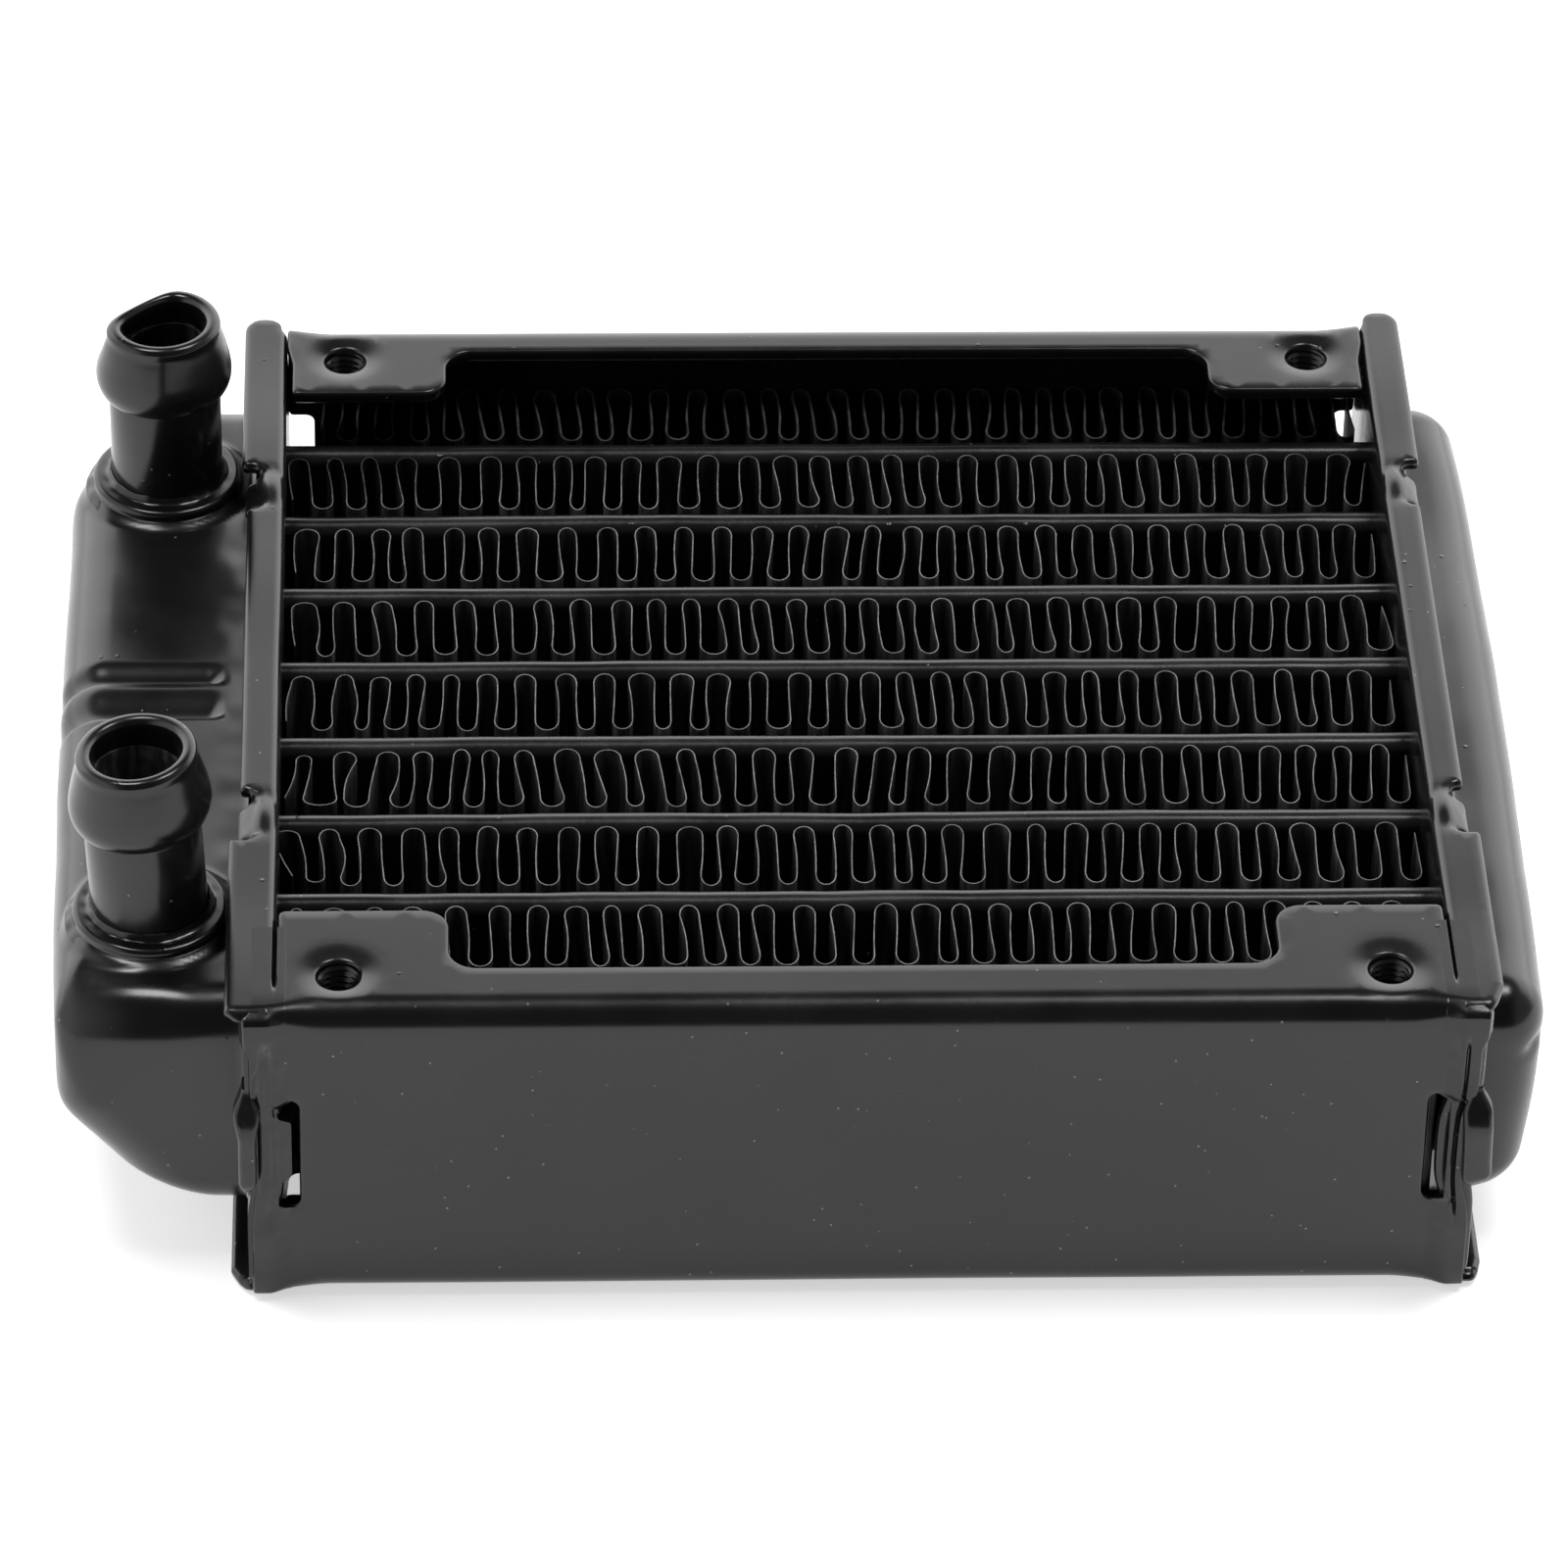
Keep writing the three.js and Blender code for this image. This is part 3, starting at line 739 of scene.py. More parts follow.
def clinch_tab(side):
    """The tab bent over the tank's brim at a header's front end: it leans out, then runs down. The left one is
    pinched narrow below its slope, and the right one has a slanted foot."""
    high, low = (18.9 * MM, 10.6 * MM) if side < 0 else (18.3 * MM, 10.5 * MM)
    pinch = 1.0 if side < 0 else 0.0
    rings = []
    for share in np.linspace(0, 1, 60):
        z = high + (low - high) * share
        out = 1.6 * MM * smoothstep(-0.05, 0.4, share) - 0.25 * MM * share
        tip = math.sqrt(max(1 - smoothstep(0.86, 1.0, share) ** 2, 0.02))
        width = 0.3 * MM + 0.62 * MM * smoothstep(0, 0.22, share) + 0.1 * MM * (1 - pinch)
        width -= pinch * 0.3 * MM * smoothstep(0.2, 0.45, share)
        width *= 0.35 + 0.65 * tip
        depth = 0.75 * MM * (0.5 + 0.5 * tip)
        ring = rounded_box_ring(width, depth, min(width, depth) * 0.6)
        middle = 42.05 * MM - (1 - pinch) * 0.3 * MM * (1 - share)
        x = CORE_X + side * (middle + ring[:, 0])
        y = -(HEADER_END_Y - 0.95 * MM + out + ring[:, 1])
        slant = (1 - pinch) * 0.35 * smoothstep(0.7, 1.0, share)
        rings.append(np.column_stack((x, y, z + slant * ring[:, 0])))
    points, faces = loft(rings)
    slope = smoothstep(14.5 * MM, 16 * MM, points[:, 2])
    points[:, 1] += waves(points, 3 * MM, 61 + side) * 0.06 * MM + waves(points, 1.2 * MM, 64) * 0.05 * MM * slope
    return points, faces


def groove(reach, middle, width):
    """1 on a line at this reach and 0 beside it, over its half width."""
    return np.exp(-(((reach - middle) / width) ** 2))


def web_skin(side, reach, z):
    """How far the braze stands proud of the web: two soft ridges on the right with a joint between them, and
    on the left one that is folded over and dimpled."""
    beside_notch = smoothstep(NOTCH_LOW - 0.2 * MM, NOTCH_LOW + 0.3 * MM, z)
    beside_notch *= smoothstep(NOTCH_HIGH + 0.2 * MM, NOTCH_HIGH - 0.3 * MM, z)
    proud = 0.54 * MM * smoothstep(38.8 * MM, 40.8 * MM, reach + 0.5 * MM * beside_notch) - 0.04 * MM
    by_tab = clinch_height(z)
    in_joint = smoothstep(5.5 * MM, 8.5 * MM, z) * smoothstep(23.2 * MM, 21.6 * MM, z)
    if side > 0:
        joint = 40.88 * MM - 0.38 * MM * by_tab
        crown = np.where(reach < joint, (reach - joint + 0.45 * MM) / 0.45, (reach - joint - 0.55 * MM) / 0.55) / MM
        proud -= 0.1 * MM * np.minimum(crown ** 2, 1) * in_joint
        proud -= 0.26 * MM * groove(reach, joint, 0.11 * MM) * in_joint
        proud -= 0.08 * MM * groove(reach, 40.12 * MM, 0.12 * MM) * (z > NOTCH_HIGH) * in_joint
        return proud
    fold = 41.3 * MM + 0.2 * MM * smoothstep(21.5 * MM, 18 * MM, z) - 0.5 * MM * smoothstep(19.5 * MM, 22.5 * MM, z)
    proud -= 0.24 * MM * groove(reach, fold, 0.24 * MM) * smoothstep(24 * MM, 19 * MM, z) * smoothstep(8 * MM, 12 * MM, z)
    proud -= 0.24 * MM * groove(reach, 40.6 * MM - 0.4 * MM * by_tab, 0.34 * MM) * in_joint
    dimple = np.hypot(reach - 40.95 * MM, 0.6 * (z - 21.7 * MM))
    return proud - 0.16 * MM * np.exp(-((dimple / (0.5 * MM)) ** 2))


def braze_skin(side, joint_jog):
    """Braze and paint that fuse a header's front end with the front side plate: along the ears, round both
    bends and over the web."""
    share = np.linspace(0, 1, 48)
    quarter = np.radians(np.arange(90, 0, -7.5))
    heights = np.arange(TOP - PLATE_BEND, PLATE_BEND, -0.25 * MM)
    rows = [("top", y) for y in np.arange(30.9 * MM, FACE_Y - PLATE_BEND - 0.2 * MM, 0.3 * MM)]
    rows += [("bend", a) for a in quarter] + [("web", z) for z in heights] + [("bend", -a) for a in quarter[::-1]]
    rows += [("top", -y) for y in np.arange(FACE_Y - PLATE_BEND - 0.3 * MM, 34 * MM, -0.3 * MM)]
    skins, backs = [], []
    for kind, value in rows:
        angle = value if kind == "bend" else math.copysign(math.pi / 2, value) if kind == "top" else 0.0
        upright = abs(math.sin(angle))
        z_row = value if kind == "web" else TOP / 2 + math.copysign(TOP / 2 - PLATE_BEND, angle)
        by_notch = smoothstep(NOTCH_LOW - 0.2 * MM, NOTCH_LOW + 0.3 * MM, z_row)
        by_notch *= smoothstep(NOTCH_HIGH + 0.2 * MM, NOTCH_HIGH - 0.3 * MM, z_row)
        inner = 38.9 * MM + 1.1 * MM * by_notch + 0.3 * MM * upright
        if side < 0:
            filled = smoothstep(16.5 * MM, 15.7 * MM, z_row) * smoothstep(10.2 * MM, 11.2 * MM, z_row)
            inner -= 0.95 * MM * filled
        outer = 42.05 * MM - joint_jog * clinch_height(z_row) + 0.4 * MM * smoothstep(21.5 * MM, 23.0 * MM, z_row)
        outer -= 0.7 * MM * smoothstep(0.45, 1.0, upright)
        reach = inner + (outer - inner) * share
        radius = PLATE_BEND - sharpening(reach)
        ends = smoothstep(0.0, 0.05, share) * smoothstep(1.0, 0.93, share)
        over = 0.04 * MM - 0.25 * MM * (1 - ends)
        if kind == "top":
            width = 0.1 * MM if side < 0 else 0.07 * MM
            over = over - 0.6 * MM * groove(reach, 40.1 * MM, width) * smoothstep(37.6 * MM, 36.2 * MM, abs(value))
        front = web_skin(side, reach, np.full(len(reach), z_row)) - 0.75 * MM * smoothstep(0.88, 1.0, share) ** 2
        level = smoothstep(0.15, 0.9, upright)
        proud = front * (1 - level) + over * level
        places = np.column_stack((reach, np.full(len(reach), value * (PLATE_BEND if kind == "bend" else 1)),
                                  np.zeros(len(reach))))
        proud += (waves(places, 3.4 * MM, 91 + side) * 0.07 * MM + waves(places, 1.3 * MM, 93) * 0.02 * MM) * (1 - level)
        x = CORE_X + side * reach
        for shell, rise in ((skins, proud), (backs, np.minimum(proud, 0) - 0.55 * MM)):
            if kind == "web":
                y, z = FACE_Y + rise, np.full(len(reach), value)
            elif kind == "top":
                y = np.full(len(reach), abs(value))
                z = TOP / 2 + math.copysign(1, value) * (TOP / 2 + rise)
            else:
                y = FACE_Y - radius + (radius + rise) * math.cos(angle)
                z = TOP / 2 + math.copysign(1, angle) * (TOP / 2 - radius + (radius + rise) * upright)
            shell.append(np.column_stack((x, -y, z)))
    points = np.vstack(skins + backs)
    columns = len(share)
    count = len(rows) * columns
    face = grid_faces(len(rows), columns)
    faces = face + [tuple(i + count for i in f) for f in face]
    rim = list(range(columns)) + [r * columns + columns - 1 for r in range(1, len(rows))]
    rim += [count - 1 - c for c in range(1, columns)] + [r * columns for r in range(len(rows) - 2, 0, -1)]
    return points, faces + bridge(rim, [i + count for i in rim])


TABS = ((21.9 * MM, 17.6 * MM), (-16.1 * MM, -20.6 * MM))

header("left_header", -1, (43.19 * MM, 42.72 * MM, 43.45 * MM), TABS, 41.9 * MM,
       (0.75 * MM, -39.75 * MM), (1.2 * MM, -38.2 * MM), 41.0 * MM, 0.5 * MM)
header("right_header", 1, (43.0 * MM, 42.6 * MM, 43.3 * MM), TABS, 41.75 * MM,
       (1.15 * MM, -37.7 * MM), (0.7 * MM, -38.2 * MM), 41.4 * MM, 0.85 * MM)


# ---- tanks -----------------------------------------------------------------------------------------------------


def box_grid(low, high, spacing):
    """A box without its -X side, as a grid of points and quads with shared edges."""
    counts = [max(2, int(round((h - l) / spacing))) for l, h in zip(low, high)]
    numbers, points, faces = {}, [], []

    def vertex(key):
        if key not in numbers:
            numbers[key] = len(points)
            points.append([l + (h - l) * k / n for l, h, k, n in zip(low, high, key, counts)])
        return numbers[key]

    nx, ny, nz = counts
    for fixed, value, first, second in ((0, nx, ny, nz), (1, 0, nx, nz), (1, ny, nx, nz),
                                        (2, 0, nx, ny), (2, nz, nx, ny)):
        axes = [axis for axis in range(3) if axis != fixed]
        for i in range(first):
            for j in range(second):
                face = []
                for di, dj in ((0, 0), (1, 0), (1, 1), (0, 1)):
                    key = [0, 0, 0]
                    key[fixed] = value
                    key[axes[0]], key[axes[1]] = i + di, j + dj
                    face.append(vertex(tuple(key)))
                faces.append(tuple(face))
    return np.array(points), faces


def bounded(points, families, radius):
    """How far each point lies outside a body cut by planes (normal, reach). Edges between two families of
    planes are rounded by a radius, and edges inside a family only slightly."""
    total = 0
    for planes in families:
        pushed = [np.maximum((points @ unit(np.array(normal, float)) - reach) / radius + 1, 0)
                  for normal, reach in planes]
        total = total + sum(p ** 8 for p in pushed) ** 0.25
    return (np.sqrt(total) - 1) * radius


def swell(points, low, high, planes, radius):
    """Moves each point along its ray from the inner box low..high onto the rounded body."""
    origin = np.clip(points, low, high)
    ray = points - origin
    near, far = np.zeros(len(points)), np.full(len(points), 1.6)
    for _ in range(40):
        middle = (near + far) / 2
        outside = bounded(origin + ray * middle[:, None], planes, radius) > 0
        far = np.where(outside, middle, far)
        near = np.where(outside, near, middle)
    return origin + ray * near[:, None]


def gradient(points, field, step=0.02 * MM):
    """The direction in which a field grows fastest at each point."""
    slopes = []
    for axis in range(3):
        shift = np.zeros(3)
        shift[axis] = step
        slopes.append(field(points + shift) - field(points - shift))
    slopes = np.column_stack(slopes)
    return slopes / np.maximum(np.linalg.norm(slopes, axis=1), 1e-12)[:, None]


def boundary_loops(faces):
    """The open edges of a mesh, as ordered loops of vertex numbers."""
    count = {}
    for face in faces:
        for a, b in zip(face, face[1:] + face[:1]):
            key = (min(a, b), max(a, b))
            count[key] = count.get(key, 0) + 1
    neighbours = {}
    for (a, b), uses in count.items():
        if uses == 1:
            neighbours.setdefault(a, []).append(b)
            neighbours.setdefault(b, []).append(a)
    loops, left = [], set(neighbours)
    while left:
        loop = [min(left)]
        left.discard(loop[0])
        while True:
            ahead = [n for n in neighbours[loop[-1]] if n in left]
            if not ahead:
                break
            loop.append(ahead[0])
            left.discard(ahead[0])
        loops.append(loop)
    return loops


def drawn_tank(node, side, reach, planes, radius, spine, relief, holes=()):
    """A drawn shell with a brim, worked out in (reach, y, z) with reach growing away from the core."""
    wall = SHEET
    points, faces = box_grid((BRIM_FACE + 0.5 * MM, -TANK_HALF_Y, TANK_LOW), (reach, TANK_HALF_Y, TOP - TANK_LOW),
                             0.32 * MM)
    points = swell(points, np.array(spine[0]), np.array(spine[1]), planes, radius)
    normals = gradient(points, lambda p: bounded(p, planes, radius))
    points = points + normals * relief(points)[:, None]
    inner = points - normals * wall
    for centre in holes:
        hole = np.array((centre[0], centre[1]))
        high = points[:, 2] > TOP / 2
        near = high & (np.linalg.norm(points[:, :2] - hole, axis=1) < NECK_RADIUS)
        faces = [face for face in faces if not all(near[i] for i in face)]
    loops = boundary_loops(faces)
    loops.sort(key=len, reverse=True)
    for loop in loops[1:]:
        centre = min(holes, key=lambda h: abs(h[1] - points[loop[0], 1]))
        for part in (points, inner):
            arm = part[loop, :2] - np.array(centre)
            part[loop, :2] = np.array(centre) + arm / np.linalg.norm(arm, axis=1)[:, None] * (NECK_RADIUS + 0.03 * MM)
    used = sorted({i for face in faces for i in face})
    renumber = {old: new for new, old in enumerate(used)}
    points, inner = points[used], inner[used]
    faces = [tuple(renumber[i] for i in face) for face in faces]
    row = [renumber[i] for i in loops[0]]

    start = points[row]
    out_y, out_z = start[:, 1] / TANK_HALF_Y, (start[:, 2] - TOP / 2) / (TOP / 2 - TANK_LOW)
    square = (np.abs(out_y) ** 40 + np.abs(out_z) ** 40) ** -0.025
    goal_y, goal_z = out_y * square * BRIM_HALF_Y, TOP / 2 + out_z * square * (TOP / 2 - SHEET - 0.12 * MM)
    for share, lift in ((0.02, 0.2), (0.06, 0.07), (0.14, 0.01), (0.4, 0), (0.7, 0), (1, 0)):
        ring = np.column_stack((np.full(len(row), BRIM_FACE + lift * MM),
                                start[:, 1] + (goal_y - start[:, 1]) * share,
                                start[:, 2] + (goal_z - start[:, 2]) * share))
        jog = 0.5 * MM * smoothstep(-37 * MM, -40 * MM, ring[:, 1])
        ring[:, 0] -= jog * np.exp(-(((ring[:, 2] - 13.2 * MM) / (4.2 * MM)) ** 4))
        under = ring.copy()
        under[:, 0] -= wall
        if share < 0.1:
            under[:, 1:] -= (ring[:, 1:] - np.array((0, TOP / 2))) * 0.012
        after = list(range(len(points), len(points) + len(row)))
        points, inner = np.vstack((points, ring)), np.vstack((inner, under))
        faces += bridge(row, after)
        row = after
    count = len(points)
    closed = faces + [tuple(i + count for i in face) for face in faces]
    for loop in boundary_loops(faces):
        closed += bridge(loop, [i + count for i in loop])
    points = np.vstack((points, inner))
    placed = np.column_stack((CORE_X + side * points[:, 0], points[:, 1], points[:, 2]))
    made = piece(node + "_drawn", placed, closed, tank_paint, [node])
    soften(made, 0.36 * MM)
    return made


def soften(made, width):
    """Rounds the sharp edges of a piece, as paint does."""
    bevel = made.modifiers.new("paint_edge", "BEVEL")
    bevel.width = width
    bevel.segments = 3
    bevel.limit_method = "ANGLE"
    bevel.angle_limit = math.radians(60)


def plane(normal, through):
    """A cutting plane with this outward normal, through a point (reach, y, z)."""
    return normal, float(unit(np.array(normal, float)) @ np.array(through))


def tank_planes(reach, cuts):
    """A tank's outer sides in three families: the far side with the planes that cut it, the ends, and the top
    and bottom."""
    return [
        [plane((1, 0, 0), (reach, 0, 0))] + cuts,
        [plane((0, 1, 0), (0, TANK_HALF_Y, 0)), plane((0, -1, 0), (0, -TANK_HALF_Y, 0))],
        [plane((0, 0, 1), (0, 0, TOP - TANK_LOW)), plane((0, 0, -1), (0, 0, TANK_LOW))],
    ]


TANK_HALF_Y = 35.8 * MM
TANK_LOW = 3.55 * MM
BRIM_FACE = 42.15 * MM
BRIM_HALF_Y = 40.45 * MM
NECK_RADIUS = 4.05 * MM
LEFT_REACH = CORE_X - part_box("left_tank")[0].x + 0.35 * MM
RIGHT_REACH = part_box("right_tank")[1].x - CORE_X + 0.4 * MM

barb_low, barb_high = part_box("inlet_barb")
BARB_X = (barb_low.x + barb_high.x) / 2
BARB_Y = -(barb_low.y + barb_high.y) / 2
BARB_REACH = CORE_X - BARB_X


def left_relief(points):
    """Grooves that hold the divider, bosses under the collars, and the unevenness of a hand-brazed shell."""
    reach, y, z = points.T
    top = smoothstep(TOP - TANK_LOW - 5 * MM, TOP - TANK_LOW - 1.5 * MM, z)
    along = smoothstep(43.9 * MM, 45.3 * MM, reach)
    rear_groove = smoothstep(3.6 * MM, 1.7 * MM, y) * smoothstep(0.85 * MM, 1.35 * MM, y)
    front_groove = smoothstep(0.45 * MM, -2.3 * MM, y) * smoothstep(-3.05 * MM, -2.6 * MM, y)
    out = -(0.5 * rear_groove + 0.55 * front_groove) * MM * top * along
    for centre in (-BARB_Y, BARB_Y):
        away = np.hypot(reach - BARB_REACH, y - centre)
        out = out + 0.4 * MM * smoothstep(6.4 * MM, 5.3 * MM, away) * top
    out += waves(points, 22 * MM, 71) * 0.1 * MM + waves(points, 7 * MM, 72) * 0.025 * MM
    seam = smoothstep(45.2 * MM, 43.4 * MM, reach)
    return out + seam * waves(points, 3.5 * MM, 73) * 0.04 * MM


def right_relief(points):
    reach, y, z = points.T
    out = waves(points, 20 * MM, 81) * 0.1 * MM + waves(points, 6 * MM, 82) * 0.02 * MM
    pinch = np.hypot((y + 34.2 * MM) / 1.2, (z - 17.0 * MM) / 0.7)
    return out - 0.35 * MM * np.exp(-((pinch / (0.9 * MM)) ** 2)) * smoothstep(44 * MM, 46 * MM, reach)


left_cuts = [
    plane((1, 0.55, 0), (LEFT_REACH - 1.4 * MM, 29.0 * MM, 0)),
    plane((1, -0.07, 0), (LEFT_REACH, -26.0 * MM, 0)),
    plane((1, -0.3, -0.83), (LEFT_REACH + 0.2 * MM, -34.6 * MM, 13.1 * MM)),
    plane((1, 0.75, -0.9), (LEFT_REACH - 1.0 * MM, TANK_HALF_Y - 2.2 * MM, TANK_LOW + 4.6 * MM)),
    plane((1, -1.3, 1.0), (LEFT_REACH - 3.0 * MM, -33.9 * MM, 20.6 * MM)),
]
drawn_tank("left_tank", -1, LEFT_REACH, tank_planes(LEFT_REACH, left_cuts), 3.4 * MM,
           ((BRIM_FACE + 0.5 * MM, -27 * MM, 10 * MM), (48 * MM, 27 * MM, 15 * MM)), left_relief,
           ((BARB_REACH, -BARB_Y), (BARB_REACH, BARB_Y)))
right_cuts = [
    plane((1, 0.1, 0), (RIGHT_REACH, 28 * MM, 0)),
    plane((1, -0.03, 0), (RIGHT_REACH, -27 * MM, 0)),
    plane((1, -0.05, -0.13), (RIGHT_REACH - 0.3 * MM, -34 * MM, 12.5 * MM)),
]
drawn_tank("right_tank", 1, RIGHT_REACH, tank_planes(RIGHT_REACH, right_cuts), 3.4 * MM,
           ((BRIM_FACE + 0.5 * MM, -30 * MM, 9 * MM), (43.6 * MM, 30 * MM, 16 * MM)), right_relief)


# ---- hose barbs ------------------------------------------------------------------------------------------------


def arc(centre, radius, first, last, steps):
    """Points (r, z) on an arc, its angles in degrees from the +r direction."""
    angles = np.radians(np.linspace(first, last, steps))
    return [(centre[0] + radius * math.cos(a), centre[1] + radius * math.sin(a)) for a in angles]


def curve(points, steps=6):
    """A smooth curve through points (r, z)."""
    ends = [points[0]] + list(points) + [points[-1]]
    out = []
    for before, start, end, after in zip(ends, ends[1:], ends[2:], ends[3:]):
        a, b, c, d = (np.array(p, float) for p in (before, start, end, after))
        for t in np.arange(steps) / steps:
            out.append(tuple(0.5 * (2 * b + (c - a) * t + (2 * a - 5 * b + 4 * c - d) * t ** 2
                                    + (3 * b - a - 3 * c + d) * t ** 3)))
    return out + [tuple(points[-1])]


def turned(profile, steps):
    """A closed profile (r, z) turned about the Z axis."""
    angles = np.arange(steps) * TURN / steps
    radii, heights = np.array(profile).T
    points = np.stack([np.outer(radii, np.cos(angles)), np.outer(radii, np.sin(angles)),
                       np.outer(heights, np.ones(steps))], axis=-1).reshape(-1, 3)
    return points, grid_faces(len(profile), steps, wrap_rows=True, wrap_columns=True)


def hose_barb(node, seed, dent, lean, skew):
    """A hose tail: neck, bead and rolled mouth. dent is how far the mouth's back left side is pushed in, lean
    how far the axis tips to the left, and skew how much lower the bead hangs on its left."""
    low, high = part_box(node)
    middle_y = (low.y + high.y) / 2
    lip_z = high.z - 0.3 * MM
    bore = 3.04 * MM
    bead = [(4.12, 30.48), (4.4, 30.62), (4.68, 30.95), (4.88, 31.5), (4.94, 32.1), (4.84, 32.9), (4.62, 33.8),
            (4.38, 34.7), (4.22, 35.25), (4.16, 35.5)]
    bead = [(r * MM, z * MM) for r, z in bead]
    profile = [(NECK_RADIUS, low.z), (NECK_RADIUS, 22.5 * MM), (NECK_RADIUS, 26 * MM),
               (NECK_RADIUS, bead[0][1] - 0.3 * MM), (NECK_RADIUS - 0.05 * MM, bead[0][1] - 0.06 * MM)]
    profile += curve(bead) + arc((3.62 * MM, lip_z), 0.58 * MM, 12, 180, 12)
    profile += [(bore, lip_z - 0.8 * MM), (bore, 32 * MM), (bore, 27 * MM), (bore, 22 * MM), (bore, low.z)]
    points, faces = turned(profile, 112)
    out = unit(np.array((-0.65, 0.76)))
    reach = points[:, :2] @ out
    radius = np.hypot(points[:, 0], points[:, 1])
    blunt = 0.55 * MM
    limit = radius * (1 - dent) + 0.25 * MM
    pushed = limit - blunt * np.log1p(np.exp(np.clip((limit - reach) / blunt, -60, 60)))
    weight = smoothstep(32.0 * MM, 35.6 * MM, points[:, 2]) * (dent > 0)
    points[:, :2] += np.outer((pushed - reach) * weight, out)
    arms = points * np.array((1, 1, 0))
    points += arms / np.maximum(radius, 1e-9)[:, None] * (waves(points, 6 * MM, seed) * 0.035 * MM)[:, None]
    points[:, 2] += skew * points[:, 0] * smoothstep(27 * MM, 30.4 * MM, points[:, 2])
    points[:, 0] -= lean * np.maximum(points[:, 2] - 21 * MM, 0)
    points += np.array((BARB_X, middle_y, 0))
    piece(node + "_turned", points, faces, barb_paint, [node])
    rows, steps = 40, 72
    angles = np.arange(steps) * TURN / steps
    rings = []
    for z in np.linspace(low.z + 0.2 * MM, 34.2 * MM, rows):
        places = np.column_stack((bore * np.cos(angles), bore * np.sin(angles), np.full(steps, z)))
        rough = waves(places, 0.9 * MM, seed + 3) * 0.05 * MM
        rings.append(places * (1 - (rough + 0.07 * MM)[:, None] / bore * np.array((1, 1, 0))))
    grain = np.vstack(rings)
    wall = grain * (1 + 0.04 * np.array((1, 1, 0)))
    points = np.vstack((grain, wall))
    reach = points[:, :2] @ out
    pushed = (reach > 0) * dent * reach * smoothstep(32.0 * MM, 35.6 * MM, points[:, 2])
    points[:, :2] -= np.outer(pushed, out)
    faces = grid_faces(rows, steps, wrap_columns=True)
    closed = faces + [tuple(i + rows * steps for i in face) for face in faces]
    for row in (0, (rows - 1) * steps):
        inner = list(range(row, row + steps))
        closed += bridge(inner, [i + rows * steps for i in inner])
    points[:, 0] -= lean * np.maximum(points[:, 2] - 21 * MM, 0)
    points += np.array((BARB_X, middle_y, 0))
    piece(node + "_bore", points, closed, bore_paint, [node])


def brazed_collar(node, seed):
    """A ring round the foot of a barb, with an uneven braze fillet inside it and another below."""
    low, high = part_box(node)
    outer = (high.x - low.x) / 2 + 0.1 * MM
    inner = NECK_RADIUS + 0.04 * MM
    top, foot = high.z, low.z
    profile = [(inner, foot - 0.3 * MM), (outer + 0.55 * MM, foot - 0.25 * MM), (outer + 0.28 * MM, foot + 0.02 * MM),
               (outer + 0.08 * MM, foot + 0.14 * MM), (outer, foot + 0.3 * MM)]
    profile += arc((outer - 0.42 * MM, top - 0.42 * MM), 0.42 * MM, 0, 90, 6)
    profile += [(outer - 0.8 * MM, top - 0.02 * MM), (inner + 0.32 * MM, top + 0.02 * MM),
                (inner + 0.14 * MM, top + 0.16 * MM), (inner + 0.03 * MM, top + 0.42 * MM), (inner, top + 0.5 * MM)]
    points, faces = turned(profile, 120)
    radius = np.hypot(points[:, 0], points[:, 1])
    fillet = smoothstep(inner + 0.6 * MM, inner, radius) * (points[:, 2] > top - 0.1 * MM)
    under = smoothstep(foot + 0.4 * MM, foot, points[:, 2])
    lumps = waves(points, 1.1 * MM, seed) * 0.09 * MM * np.maximum(fillet, under)
    points[:, 2] += lumps + waves(points, 7 * MM, seed + 1) * 0.05 * MM
    points += np.array(((low.x + high.x) / 2, (low.y + high.y) / 2, 0))
    return piece(node + "_brazed", points, faces, barb_paint, [node])


hose_barb("inlet_barb", 11, 0.0, 0.043, 0.09)
hose_barb("outlet_barb", 12, 0.36, 0.0, 0.02)
brazed_collar("inlet_collar", 21)
brazed_collar("outlet_collar", 22)


# ---- core ------------------------------------------------------------------------------------------------------


def flat_tube(node, seed):
    """A flat tube with round noses, a little wavy along its length."""
    low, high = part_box(node)
    middle = (low + high) / 2
    ring = rounded_box_ring((high.y - low.y) / 2, (high.z - low.z) / 2, (high.y - low.y) / 2 * 0.96, 9)
    xs = np.linspace(low.x, high.x, 90)
    rings = []
    for x in xs:
        sway = waves(np.array([[x, 0, 0]]), 24 * MM, seed)[0] * 0.06 * MM
        rings.append(np.column_stack((np.full(len(ring), x), middle.y + ring[:, 0] + sway, middle.z + ring[:, 1])))
    points, faces = loft(rings)
    points[:, 2] += waves(points, 5 * MM, seed + 50) * 0.03 * MM
    return piece(node + "_rolled", points, faces, tube_paint, [node])


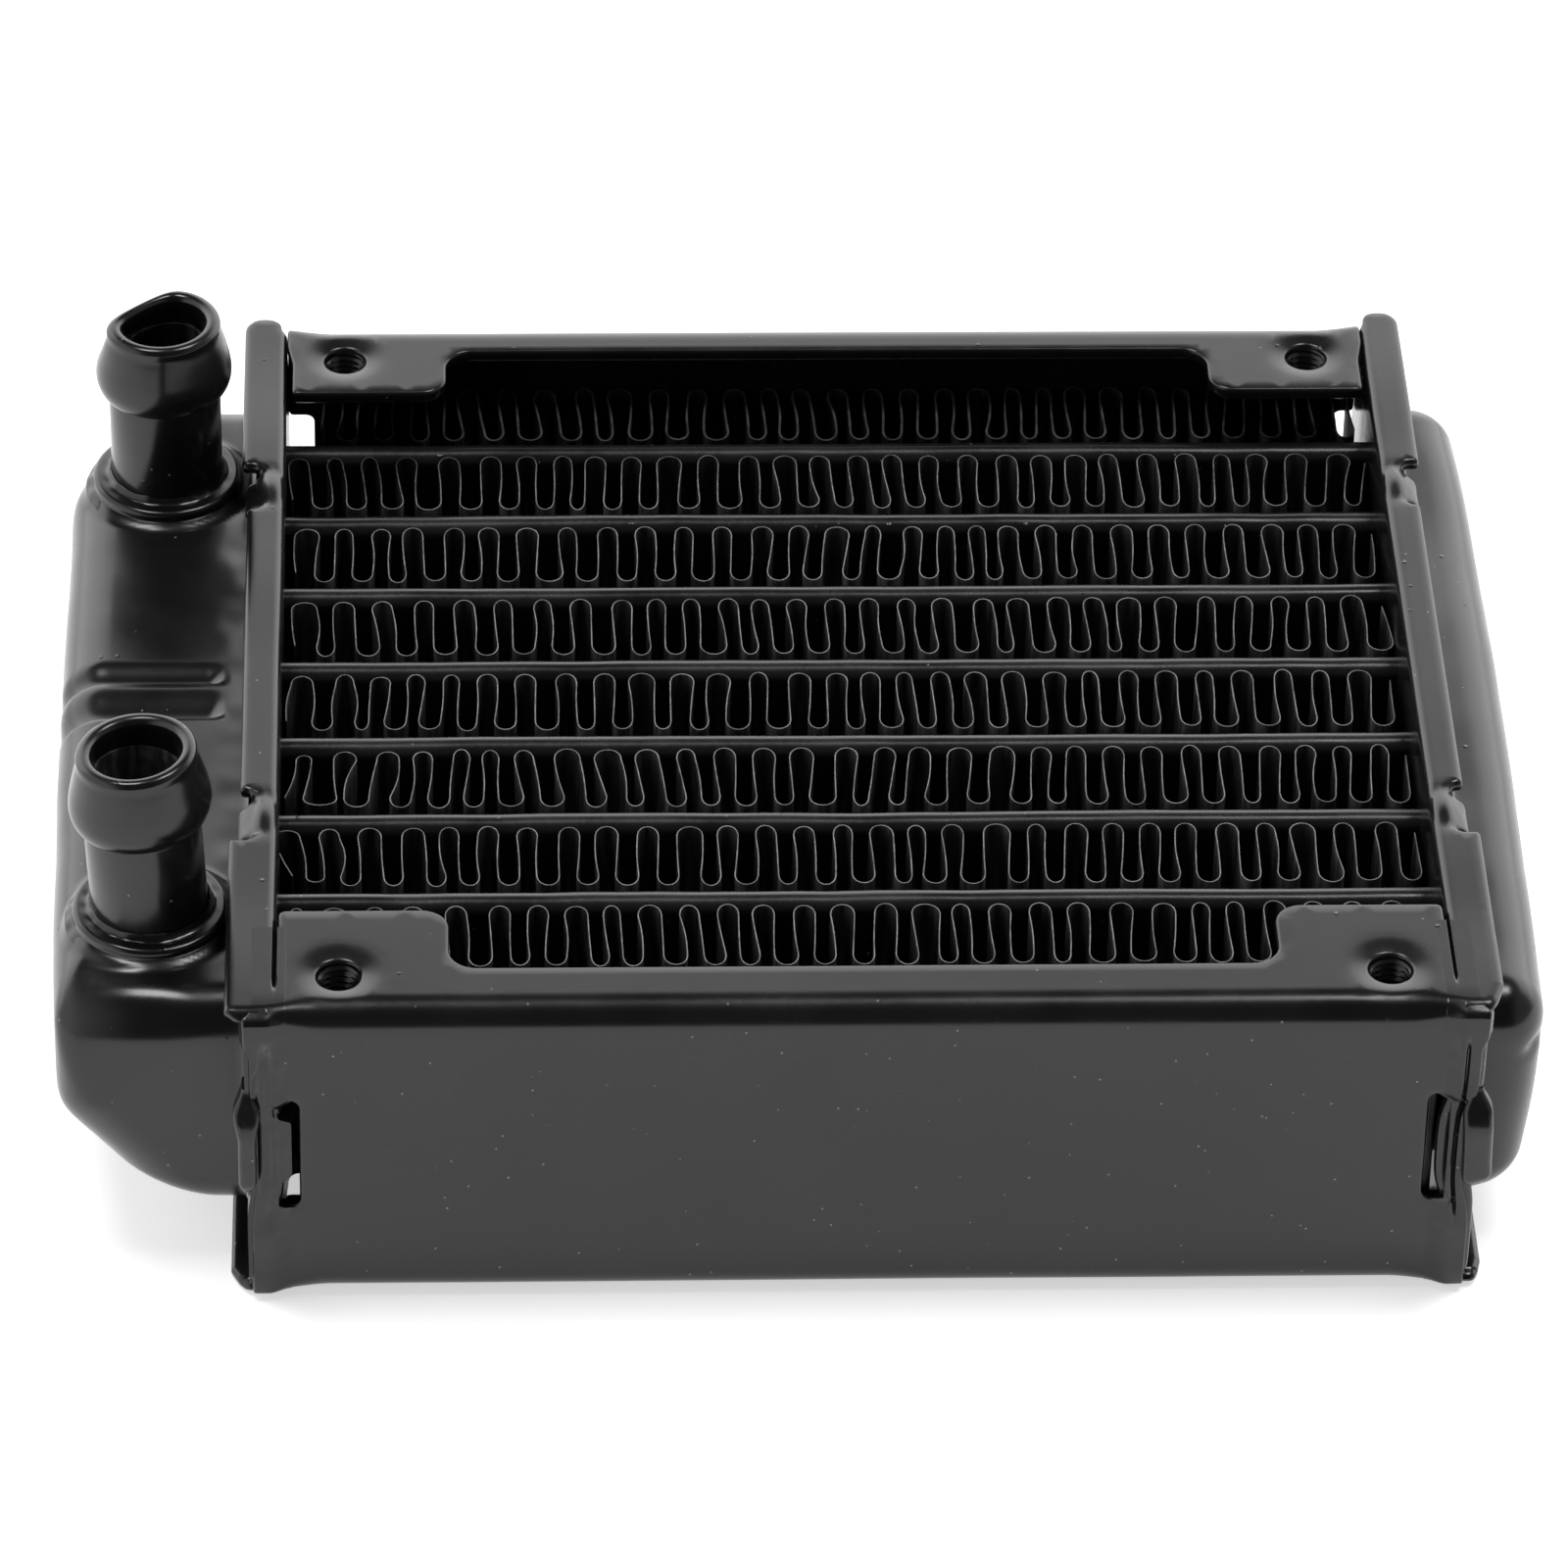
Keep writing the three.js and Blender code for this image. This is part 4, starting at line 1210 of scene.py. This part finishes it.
def fin_strip(node, seed, thickness, top, crush, start_gap):
    """A serpentine strip: thin sheet folded into round waves, no two quite alike. crush is how much worse the
    first waves are, top how far the strip's top edge lies below the CAD's, and start_gap how much of the left
    end is bare of fins."""
    rng = np.random.default_rng(seed)
    low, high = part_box(node)
    start = CORE_X - 39.75 * MM + start_gap + rng.uniform(0, 0.5) * MM
    end = CORE_X + 39.75 * MM - rng.uniform(0, 0.5) * MM
    legs = 59
    steps = 1 + rng.normal(0, 0.09, legs - 1)
    base = start + (end - start) * np.concatenate(([0], np.cumsum(steps))) / np.sum(steps)
    number = np.arange(legs)
    rough = 1 + crush * np.exp(-number / 3.0)
    slow = waves(np.column_stack((number * MM, 0 * number, 0 * number)), 16 * MM, seed) * 0.24 * MM
    jitter = rng.normal(0, 0.06, (3, legs)) * MM * rough
    swollen = rng.uniform(-0.02, 0.13, (2, legs)) * MM
    upper = base + slow + jitter[0] + np.where(number % 2, 1, -1) * swollen[0]
    lower = base - slow + jitter[1] + np.where(number % 2, -1, 1) * swollen[1]
    middle = (low.y + high.y) / 2
    half = (high.y - low.y) / 2 - thickness / 2
    short = rng.uniform(0, 0.16, legs) * MM * rough
    path = []
    for leg in range(legs):
        climbs = leg % 2 == 0
        first, last = (lower, upper) if climbs else (upper, lower)
        cap = 1.2 * MM
        for share in np.linspace(0.02, 0.98, 9):
            x = first[leg] + (last[leg] - first[leg]) * share + jitter[2][leg] * math.sin(math.pi * share)
            y = (share * 2 - 1) * (half - cap) * (1 if climbs else -1)
            path.append((x, y))
        if leg == legs - 1:
            break
        centre, width = (last[leg] + last[leg + 1]) / 2, (last[leg + 1] - last[leg]) / 2
        for angle in np.linspace(0.12, math.pi - 0.12, 9):
            y = (half - cap) + (cap - short[leg]) * math.sin(angle) ** 0.85
            path.append((centre - width * math.cos(angle), y if climbs else -y))
    path = np.array(path) + np.array((0, middle))
    along = np.gradient(path, axis=0)
    along /= np.linalg.norm(along, axis=1)[:, None]
    side = np.column_stack((-along[:, 1], along[:, 0])) * thickness / 2
    columns = np.vstack((path + side, (path - side)[::-1]))
    count = len(columns)
    rings = []
    for height in (low.z, low.z + 0.05 * MM, (low.z + high.z) / 2, high.z - top - 0.05 * MM, high.z - top):
        places = np.column_stack((columns, np.full(count, height)))
        places[:, 0] += waves(places, 8 * MM, seed + 9) * 0.06 * MM
        rings.append(places)
    rings[-1][:, 2] += waves(rings[-1], 3 * MM, seed + 10) * 0.05 * MM
    faces = grid_faces(len(rings), count, wrap_columns=True)
    ends = count // 2
    for row in (0, (len(rings) - 1) * count):
        faces += [(row + i, row + i + 1, row + count - 2 - i, row + count - 1 - i) for i in range(ends - 1)]
    return piece(node + "_folded", np.vstack(rings), faces, fin_paint, [node])


tube_nodes = sorted(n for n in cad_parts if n.startswith("flat_tube_"))
fin_nodes = sorted(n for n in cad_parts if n.startswith("fin_strip_"))
for number, node in enumerate(tube_nodes):
    flat_tube(node, 100 + number)
FIN_CRUSH = (2, 1, 4, 6, 5, 1, 1, 1, 1)
for number, (node, crush) in enumerate(zip(fin_nodes, FIN_CRUSH)):
    hidden_by_paint = number == len(fin_nodes) - 1
    fin_strip(node, 200 + number, 0.16 * MM if hidden_by_paint else 0.075 * MM,
              0.7 * MM if hidden_by_paint else 0, crush, 1.9 * MM if hidden_by_paint else 0)

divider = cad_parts["tank_divider"]
divider.data.materials.clear()
divider.data.materials.append(bare_aluminium)
